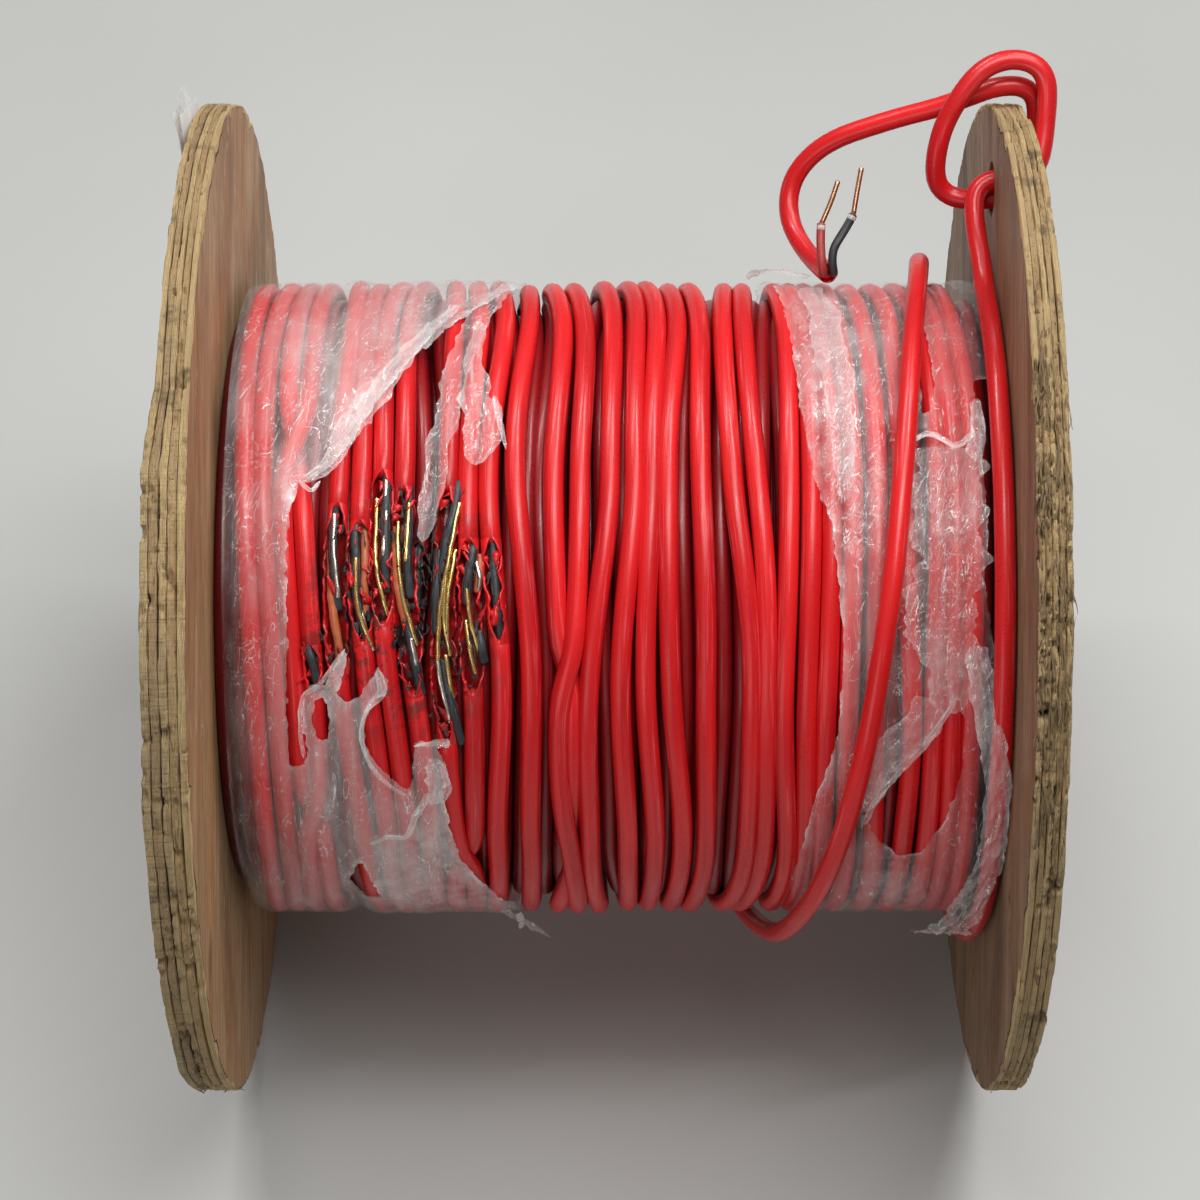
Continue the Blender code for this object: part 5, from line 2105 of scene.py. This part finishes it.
@dataclass
class Flange:
    """A plywood disc with a sawn, weathered and chipped rim."""

    side: Side
    node: str
    veneer: Material
    bites: tuple[Bite, ...]
    splintered: tuple[float, float, float]
    frayed: float
    swelling: float
    weathering_and_shade: float
    seed: int
    columns: int = 1200
    rim_rows: int = 30
    arbor_radius: float = 0.0270
    bolt_hole_radius: float = 0.0044
    tie_hole_radius: float = 0.0111
    tie_hole_from_rim: float = 0.0321
    tie_hole_degrees: float = 123.3
    sliver_count: int = 150

    def lost(self, depth: np.ndarray, degrees: np.ndarray) -> np.ndarray:
        """How far the worn rim lies inside the full radius, in metres.

        Args:
            depth: Shares of the thickness, from the inner face.
            degrees: Angles round the axis.

        Returns:
            The depths of what is lost.
        """
        arc = degrees * 3.5465
        fine = 0.22 * np.abs(layered_noise(arc / 1.6, depth * 9, self.seed, 2))
        ply = depth * PLY_COUNT
        stepped = 0.75 * np.abs(layered_noise(arc / 24, np.floor(ply) * 3.7, self.seed + 3, 3))
        chips = 7.0 * np.clip(layered_noise(arc / 8, depth * 3.2 + 40, self.seed + 4, 4) - 0.30, 0, 0.5)
        lost = fine + stepped + chips
        glue = np.abs((ply % 1.0) - 0.5) > 0.42
        opened = layered_noise(arc / 16, np.floor(ply + 0.5) * 5.3, self.seed + 5, 3)
        opened = np.clip(opened + 0.12, 0, 1)
        lost = lost + np.where(glue, 0.35 + 5.5 * opened, 0)
        for number, bite in enumerate(self.bites):
            off = np.abs((degrees - bite.degrees + 180) % 360 - 180) / bite.half_width
            jag = 0.6 * layered_noise(arc / 3.4, depth * 4 + number * 7, self.seed + 9 + number, 3)
            low, high = bite.plies[0] + 0.05 * jag, bite.plies[1] + 0.12 * jag
            inside = np.clip((1 - off + jag) * 1.6, 0, 1)
            within = (depth >= low) & (depth <= high)
            lost = np.maximum(lost, np.where(within, bite.depth * inside * (0.85 + jag), 0))
        middle, half, amount = self.splintered
        if amount:
            off = np.abs((degrees - middle + 180) % 360 - 180) / half
            zone = np.clip((1.06 - off) * 5, 0, 1)
            fibres = layered_noise(arc / 7.5, depth * 16, self.seed + 31, 4)
            holes = np.clip(layered_noise(arc / 4.2, depth * 7, self.seed + 37, 3) - 0.08, 0, 1)
            lean = 0.12 + 0.95 * (1 - depth) ** 2
            lost = lost + zone * amount * (0.25 + 0.9 * np.abs(fibres) + 4.5 * holes * lean)
        return lost * MM

    def spread_at(self, degrees: np.ndarray) -> np.ndarray:
        """How far the rim's plies have swollen apart.

        Args:
            degrees: Angles round the axis.

        Returns:
            The shares of the most that they swell.
        """
        turned = (degrees + 90) % 360 - 90
        rise = np.clip((72 - turned) / 9, 0, 1) * np.clip((turned + 62) / 45, 0, 1)
        return rise * (0.85 + 0.15 * lattice_noise(turned / 9, 0, self.seed + 60))

    def disc(self) -> Piece:
        """Make the disc with its arbor hole and its worn rim.

        Returns:
            The piece, before its other holes are cut.
        """
        thickness = SIZES.outer_face - SIZES.inner_face
        full = SIZES.flange_radius
        degrees = -90 + np.arange(self.columns) * FULL_TURN / self.columns
        rim_depth = np.linspace(0.0, 1.0, self.rim_rows)
        depth_grid, degree_grid = np.meshgrid(rim_depth, degrees, indexing="ij")
        lost = self.lost(depth_grid, degree_grid)
        rim = full - lost
        corner = 0.0004
        rim[0] -= corner
        rim[-1] -= corner
        plain = np.array([self.arbor_radius, 0.040, 0.070, 0.110, 0.150, 0.170, 0.182, 0.190])
        approach = np.array([0.0035, 0.0012, 0.0003])
        inner_rows = [np.full(self.columns, r) for r in plain] + [rim[0] - step for step in approach]
        outer_rows = [rim[-1] - step for step in approach[::-1]]
        outer_rows += [np.full(self.columns, r) for r in plain[::-1]]
        inner = np.minimum(np.array(inner_rows), full - 0.0006)
        outer = np.array(outer_rows)
        radius = np.concatenate([inner, rim, outer])
        depth = np.concatenate([np.zeros(len(inner)), rim_depth, np.ones(len(outer))])[:, None]
        turned = np.broadcast_to(degrees, radius.shape)
        near_rim = np.clip((radius - 0.160) / (full - 0.160), 0, 1) ** 2
        swollen = self.swelling * self.spread_at(turned) * near_rim * np.clip(depth * 1.15 - 0.1, 0, 1)
        ripple = 0.00025 * layered_noise(turned / 5, radius * 60, self.seed + 71, 2) * near_rim
        x = SIZES.inner_face + depth * thickness + swollen + ripple * (depth - 0.5)
        points = SIZES.points(self.side.value * x, radius, turned)
        points[..., 2] = np.maximum(points[..., 2], 0.0)
        # Wear and painted shade: the rim greys and darkens towards the bottom front, with weathering noise on
        # top.
        wear_and_shade = np.clip(0.5 - 0.5 * np.sin(np.radians(turned - 20)), 0, 1) * 0.55 + 0.10
        wear_and_shade = self.weathering_and_shade * (wear_and_shade + 0.30 * layered_noise(turned / 11, depth * 3, self.seed + 80, 3))
        # Painted shade: the deeper the wood is chipped away, the darker the rim there.
        wear_and_shade[len(inner) : len(inner) + self.rim_rows] += np.clip(lost / MM / 3.2 - 0.60, 0, 1.5)
        if self.frayed:
            wear_and_shade = np.where(depth < self.frayed, wear_and_shade * 0.2, wear_and_shade)
        lay = stacked(depth, wear_and_shade, np.radians(turned) * full)
        rows = len(radius)
        faces = grid_faces(rows, self.columns, closed=True)
        bore = joining_faces(rows, self.columns)
        row_of = faces[:, 0] // self.columns
        on_rim = (row_of >= len(inner) - 1) & (row_of < len(inner) + self.rim_rows)
        order = slice(None, None, -1) if self.side is Side.LEFT else slice(None)
        draft = MeshDraft()
        draft.add(points, [faces[~on_rim][:, order]], lay)
        draft.faces += [(faces[on_rim][:, order], 1), (bore[:, order], 1)]
        piece = draft.piece(f"{self.side.name.lower()}_plywood_disc", [self.veneer, PLY_EDGE])
        piece.data.set_sharp_from_angle(angle=math.radians(48))
        return piece

    def cut_holes(self, disc: Piece) -> None:
        """Cut the bolt holes, and the tie-off hole on the right, with one cutter.

        Args:
            disc: The flange's disc.
        """
        thickness = SIZES.outer_face - SIZES.inner_face
        middle = self.side.value * (SIZES.inner_face + thickness / 2)
        holes = []
        for number in range(1, 5):
            low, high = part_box(f"washer_left_{number}")
            centre = (low + high) / 2
            holes.append((Vector((middle, centre.y, centre.z)), self.bolt_hole_radius))
        if self.side is Side.RIGHT:
            reach = SIZES.flange_radius - self.tie_hole_from_rim
            place = SIZES.points(middle, reach, self.tie_hole_degrees)
            holes.append((Vector(place), self.tie_hole_radius))
        mesh = bpy.data.meshes.new("hole_cutter")
        shape = bmesh.new()
        for place, radius in holes:
            made = bmesh.ops.create_cone(
                shape, cap_ends=True, segments=48, radius1=radius, radius2=radius, depth=thickness * 2
            )
            turn = Vector((1, 0, 0)).to_track_quat("Z", "Y").to_matrix().to_4x4()
            bmesh.ops.transform(shape, matrix=turn, verts=made["verts"])
            bmesh.ops.translate(shape, vec=place, verts=made["verts"])
        shape.to_mesh(mesh)
        shape.free()
        cutter = bpy.data.objects.new("hole_cutter", mesh)
        bpy.context.scene.collection.objects.link(cutter)
        boolean = disc.modifiers.new("holes", "BOOLEAN")
        boolean.operation = "DIFFERENCE"
        boolean.solver = "MANIFOLD"
        boolean.object = cutter
        bpy.context.view_layer.update()
        evaluated = disc.evaluated_get(bpy.context.evaluated_depsgraph_get())
        cut_mesh = bpy.data.meshes.new_from_object(evaluated)
        disc.modifiers.clear()
        disc.data = cut_mesh
        bpy.data.objects.remove(cutter)

    def add_slivers(self) -> Piece:
        """Make the splinters that stand off the rim where it has been broken.

        Returns:
            The piece.
        """
        chance = np.random.RandomState(self.seed + 200)
        thickness = SIZES.outer_face - SIZES.inner_face
        draft = MeshDraft()
        middle, half, amount = self.splintered
        for number in range(self.sliver_count):
            if amount and chance.rand() < 0.85:
                degrees = middle + chance.uniform(-1, 1) * half
            else:
                degrees = chance.uniform(-180, 180)
            if abs(degrees + 90) < 12:
                degrees += 30
            depth = chance.uniform(0.04, 0.96)
            x = self.side.value * (SIZES.inner_face + depth * thickness)
            x += self.side.value * self.swelling * self.spread_at(np.array([degrees]))[0] * depth
            lost = self.lost(np.array([depth]), np.array([degrees]))[0]
            radius = SIZES.flange_radius - lost * 0.75 - 0.0003
            heading = (chance.uniform(-0.16, 0.16), chance.uniform(-0.02, 0.20), chance.choice([-1.0, 1.0]))
            size = (chance.uniform(3.0, 15.0), chance.uniform(0.3, 1.1), chance.uniform(0.2, 0.45))
            add_ribbon(draft, (x, radius, degrees), heading, size, self.seed + 900 + number)
        piece = draft.piece(f"{self.side.name.lower()}_rim_splinters", [PLY_EDGE])
        points = np.zeros(len(piece.data.vertices) * 3)
        piece.data.vertices.foreach_get("co", points)
        points = points.reshape(-1, 3)
        points[:, 2] = np.maximum(points[:, 2], 0.0002)
        piece.data.vertices.foreach_set("co", points.ravel())
        return piece

    def build(self) -> list[Piece]:
        """Build the flange.

        Returns:
            Its pieces.
        """
        disc = self.disc()
        self.cut_holes(disc)
        slivers = self.add_slivers()
        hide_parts(self.node)
        return [disc, slivers]


LEFT_FLANGE = Flange(
    side=Side.LEFT,
    node="flange_left",
    veneer=LEFT_VENEER,
    bites=(
        Bite(71, 9, 1.6, (0.8, 1)), Bite(100, 7, 1.2, (0.82, 1)), Bite(8, 7, 1.9, (0, 0.22)),
        Bite(-14, 5, 2.4, (0.42, 0.6)), Bite(-30, 7, 2.8, (0.6, 0.8)), Bite(131, 4, 2, (0, 0.25)),
        Bite(170, 7, 2.4, (0.78, 1)), Bite(205, 4, 2.8, (0, 0.24)), Bite(232, 6, 2, (0.4, 0.8)),
    ),
    splintered=(0, 1, 0),
    frayed=0.42,
    swelling=0.0052,
    weathering_and_shade=1,
    seed=510,
    sliver_count=60,
)  # fmt: skip
RIGHT_FLANGE = Flange(
    side=Side.RIGHT,
    node="flange_right",
    veneer=RIGHT_VENEER,
    bites=(
        Bite(121, 5, 1.8, (0.6, 1)), Bite(83, 3, 2.6, (0, 0.22)), Bite(70, 6, 3.4, (0, 0.24)),
        Bite(10, 2, 2.2, (0.8, 1)), Bite(-2, 1.6, 3, (0.8, 1)), Bite(-12, 3, 1.8, (0.82, 1)),
        Bite(-24, 3, 1.6, (0, 0.2)), Bite(160, 6, 2.4, (0, 0.22)), Bite(215, 5, 2.6, (0.78, 1)),
        Bite(250, 3, 2.2, (0.4, 0.8)),
    ),
    splintered=(51, 28, 2.3),
    frayed=0,
    swelling=0,
    weathering_and_shade=0.45,
    seed=610,
    sliver_count=260,
)  # fmt: skip


@dataclass
class Flanges:
    """Both flanges."""

    flanges: tuple[Flange, Flange] = (LEFT_FLANGE, RIGHT_FLANGE)

    def build(self) -> list[Piece]:
        """Build both flanges."""
        return [piece for flange in self.flanges for piece in flange.build()]


def add_turned(
    draft: MeshDraft, along: np.ndarray, radius: np.ndarray, middle: Vector, hollow: bool = False
) -> None:
    """Add a shape turned round a line along the reel's axis.

    Args:
        draft: The piece that it is part of.
        along: The profile's places along the axis.
        radius: Its radii, one row a place and one column a facet.
        middle: A point on the line.
        hollow: Whether its last row runs on to its first, as a bore, or both are capped.
    """
    rows, sides = radius.shape
    turn = np.linspace(0, 2 * np.pi, sides, endpoint=False)
    y, z = middle.y - radius * np.cos(turn), middle.z + radius * np.sin(turn)
    faces = [grid_faces(rows, sides, closed=True)[:, ::-1]]
    tips = np.arange(sides)
    if hollow:
        faces.append(joining_faces(rows, sides)[:, ::-1])
    else:
        faces += [tips[None], ((rows - 1) * sides + tips)[None, ::-1]]
    draft.add(stacked(np.asarray(along)[:, None], y, z), faces)


@dataclass
class Hardware:
    """The four tie bolts with their nuts and washers, and the drum that they run through."""

    head_radius: float = 0.0095
    head_height: float = 0.0044
    shank_radius: float = 0.0040
    thread_pitch: float = 0.00125
    thread_depth: float = 0.00045
    threaded: float = 0.030
    washer_edge: float = 0.0003
    nut_flats: float = 0.0127
    nut_cone: tuple[Place, ...] = (
        (0.0, 0.0062), (0.10, 0.0068), (0.22, 0.0075), (0.78, 0.0075), (0.90, 0.0068), (1.0, 0.0062)
    )  # fmt: skip
    nut_sides: int = 72
    sides: int = 40
    crease: float = 38.0
    nut_crease: float = 30.0

    def bolt_profile(self, start: float, end: float) -> tuple[list[float], list[float]]:
        """The outline of a round-headed bolt with a threaded end.

        Args:
            start: Where the bolt starts along the axis.
            end: Where it ends.

        Returns:
            The outline's places along the axis and its radii.
        """
        dome = np.linspace(0.12, 1.0, 9) * math.pi / 2
        along = [start + self.head_height * (1 - math.cos(angle)) for angle in dome]
        radius = [self.head_radius * math.sin(angle) for angle in dome]
        seat, thread = start + self.head_height, end - self.threaded
        along += [seat + 0.0001, seat + 0.0004, thread]
        radius += [self.head_radius - 0.0002, self.shank_radius, self.shank_radius]
        for turn in range(int(self.threaded / self.thread_pitch)):
            base = thread + turn * self.thread_pitch
            along += [base + 0.25 * self.thread_pitch, base + 0.75 * self.thread_pitch]
            radius += [self.shank_radius - self.thread_depth, self.shank_radius]
        return [*along, end], [*radius, self.shank_radius - 0.0006]

    def build_bolt(self, node: str) -> Piece:
        """Make a bolt.

        Args:
            node: The node that it takes the place of.

        Returns:
            The piece.
        """
        low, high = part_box(node)
        along, radius = self.bolt_profile(low.x, high.x)
        draft = MeshDraft()
        add_turned(draft, along, np.outer(radius, np.ones(self.sides)), (low + high) / 2)
        return self.finished(draft, f"bolt_{node[-1]}", self.crease)

    def build_washer(self, node: str) -> Piece:
        """Make a pressed washer with rounded edges.

        Args:
            node: The node that it takes the place of.

        Returns:
            The piece.
        """
        low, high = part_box(node)
        outer, inner, soft = (high.y - low.y) / 2, self.shank_radius + 0.0004, self.washer_edge
        along = [low.x, low.x, low.x + soft, high.x - soft, high.x, high.x]
        radius = [inner, outer - soft, outer, outer, outer - soft, inner]
        draft = MeshDraft()
        add_turned(draft, along, np.outer(radius, np.ones(self.sides)), (low + high) / 2, hollow=True)
        return self.finished(draft, node.replace("washer", "pressed_washer"), self.crease)

    def build_nut(self, node: str) -> Piece:
        """Make a hexagon nut whose corners are chamfered by a cone.

        Args:
            node: The node that it takes the place of.

        Returns:
            The piece.
        """
        low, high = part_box(node)
        turn = np.linspace(0, 2 * np.pi, self.nut_sides, endpoint=False)
        hexagon = self.nut_flats / 2 / np.cos((turn + math.pi / 6) % (math.pi / 3) - math.pi / 6)
        inner = np.full(self.nut_sides, self.shank_radius + 0.0002)
        radius = [inner, *(np.minimum(hexagon, cone) for _, cone in self.nut_cone), inner]
        along = [low.x, *(low.x + share * (high.x - low.x) for share, _ in self.nut_cone), high.x]
        draft = MeshDraft()
        add_turned(draft, along, np.array(radius), (low + high) / 2, hollow=True)
        return self.finished(draft, f"hex_nut_{node[-1]}", self.nut_crease)

    def finished(self, draft: MeshDraft, name: str, crease: float) -> Piece:
        """Make a zinc piece with sharp edges.

        Args:
            draft: Its shapes.
            name: Its name.
            crease: The angle in degrees above which an edge is sharp.

        Returns:
            The piece.
        """
        piece = draft.piece(name, [ZINC])
        piece.data.set_sharp_from_angle(angle=math.radians(crease))
        return piece

    def build(self) -> list[Piece]:
        """Build the hardware and dress the drum.

        Returns:
            The hardware's pieces.
        """
        makers = {"tie_bolt_": self.build_bolt, "tie_nut_": self.build_nut,
                  "washer_left_": self.build_washer, "washer_right_": self.build_washer}  # fmt: skip
        pieces = []
        for stem, make in makers.items():
            for number in range(1, 5):
                piece = make(f"{stem}{number}")
                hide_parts(f"{stem}{number}")
                pieces.append(piece)
        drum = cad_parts["drum_tube"]
        drum.data.materials.clear()
        drum.data.materials.append(FIBRE)
        return pieces


@dataclass
class Label:
    """A blank paper label in a clear sleeve on the left flange's outer face."""

    length: float = 0.100
    width: float = 0.058
    degrees: float = 122.0
    past_rim: float = 0.0010
    lift: float = 0.0042
    curled: float = 0.035
    thickness: float = 0.00025
    rows: int = 60
    columns: int = 36

    def leaf(self, grow: float, stand_off: float, curl: float, seed: int) -> MeshDraft:
        """Make a thin leaf that lies on the flange and curls away at its outer end.

        Args:
            grow: How much larger than the label it is on each side.
            stand_off: How far it stands off the flange.
            curl: How far its outer end curls away.
            seed: Which random waves it has.

        Returns:
            The leaf's draft.
        """
        far = SIZES.flange_radius + self.past_rim + grow
        reach = np.linspace(far - self.length - 2 * grow, far, self.rows)[:, None]
        off = np.linspace(-self.width / 2 - grow, self.width / 2 + grow, self.columns)[None]
        share = np.clip((reach - (far - self.curled)) / self.curled, 0, 1)
        wave = 0.0004 * layered_noise(reach * 90, off * 90, seed, 3)
        curled = curl * share**2 * (1 + 0.5 * lattice_noise(off * 40, 0, seed + 3))
        lifted = stand_off + curled + wave * (share + 0.15)
        way = math.radians(self.degrees)
        across, up = -math.cos(way), math.sin(way)
        y = reach * across + off * up
        z = SIZES.axis_height + reach * up - off * across
        x = -(SIZES.outer_face + np.maximum(lifted, 0.0004)) + 0 * y
        front = stacked(x, y, z)
        back = front + np.array([self.thickness, 0.0, 0.0])
        draft = MeshDraft()
        quads = grid_faces(self.rows, self.columns)
        lay = stacked(share * 0.4, 0.5 + 0 * y, 0.0)
        draft.add(front, [quads[:, ::-1]], lay)
        draft.add(back, [quads], lay)
        return draft

    def build(self) -> list[Piece]:
        """Build the label and its sleeve.

        Returns:
            The two pieces.
        """
        paper = self.leaf(0.0, 0.0006, self.lift, 701).piece("paper_label", [LABEL_PAPER])
        sleeve = self.leaf(0.0035, 0.0014, self.lift * 1.5, 711).piece("label_sleeve", [STRETCH_FILM])
        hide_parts("label")
        return [paper, sleeve]


SUB_ASSEMBLIES = (FreeEnd, Winding, FilmWraps, Flanges, Hardware, Label)


def main() -> None:
    """Build the studio and every sub-assembly in order, and report each piece."""
    logging.basicConfig(level=logging.INFO, format="%(message)s")
    Studio().set_up()
    for sub_assembly in SUB_ASSEMBLIES:
        for piece in sub_assembly().build():
            LOG.info("%s: %s", sub_assembly.__name__, piece.name)


if __name__ == "__main__":
    main()
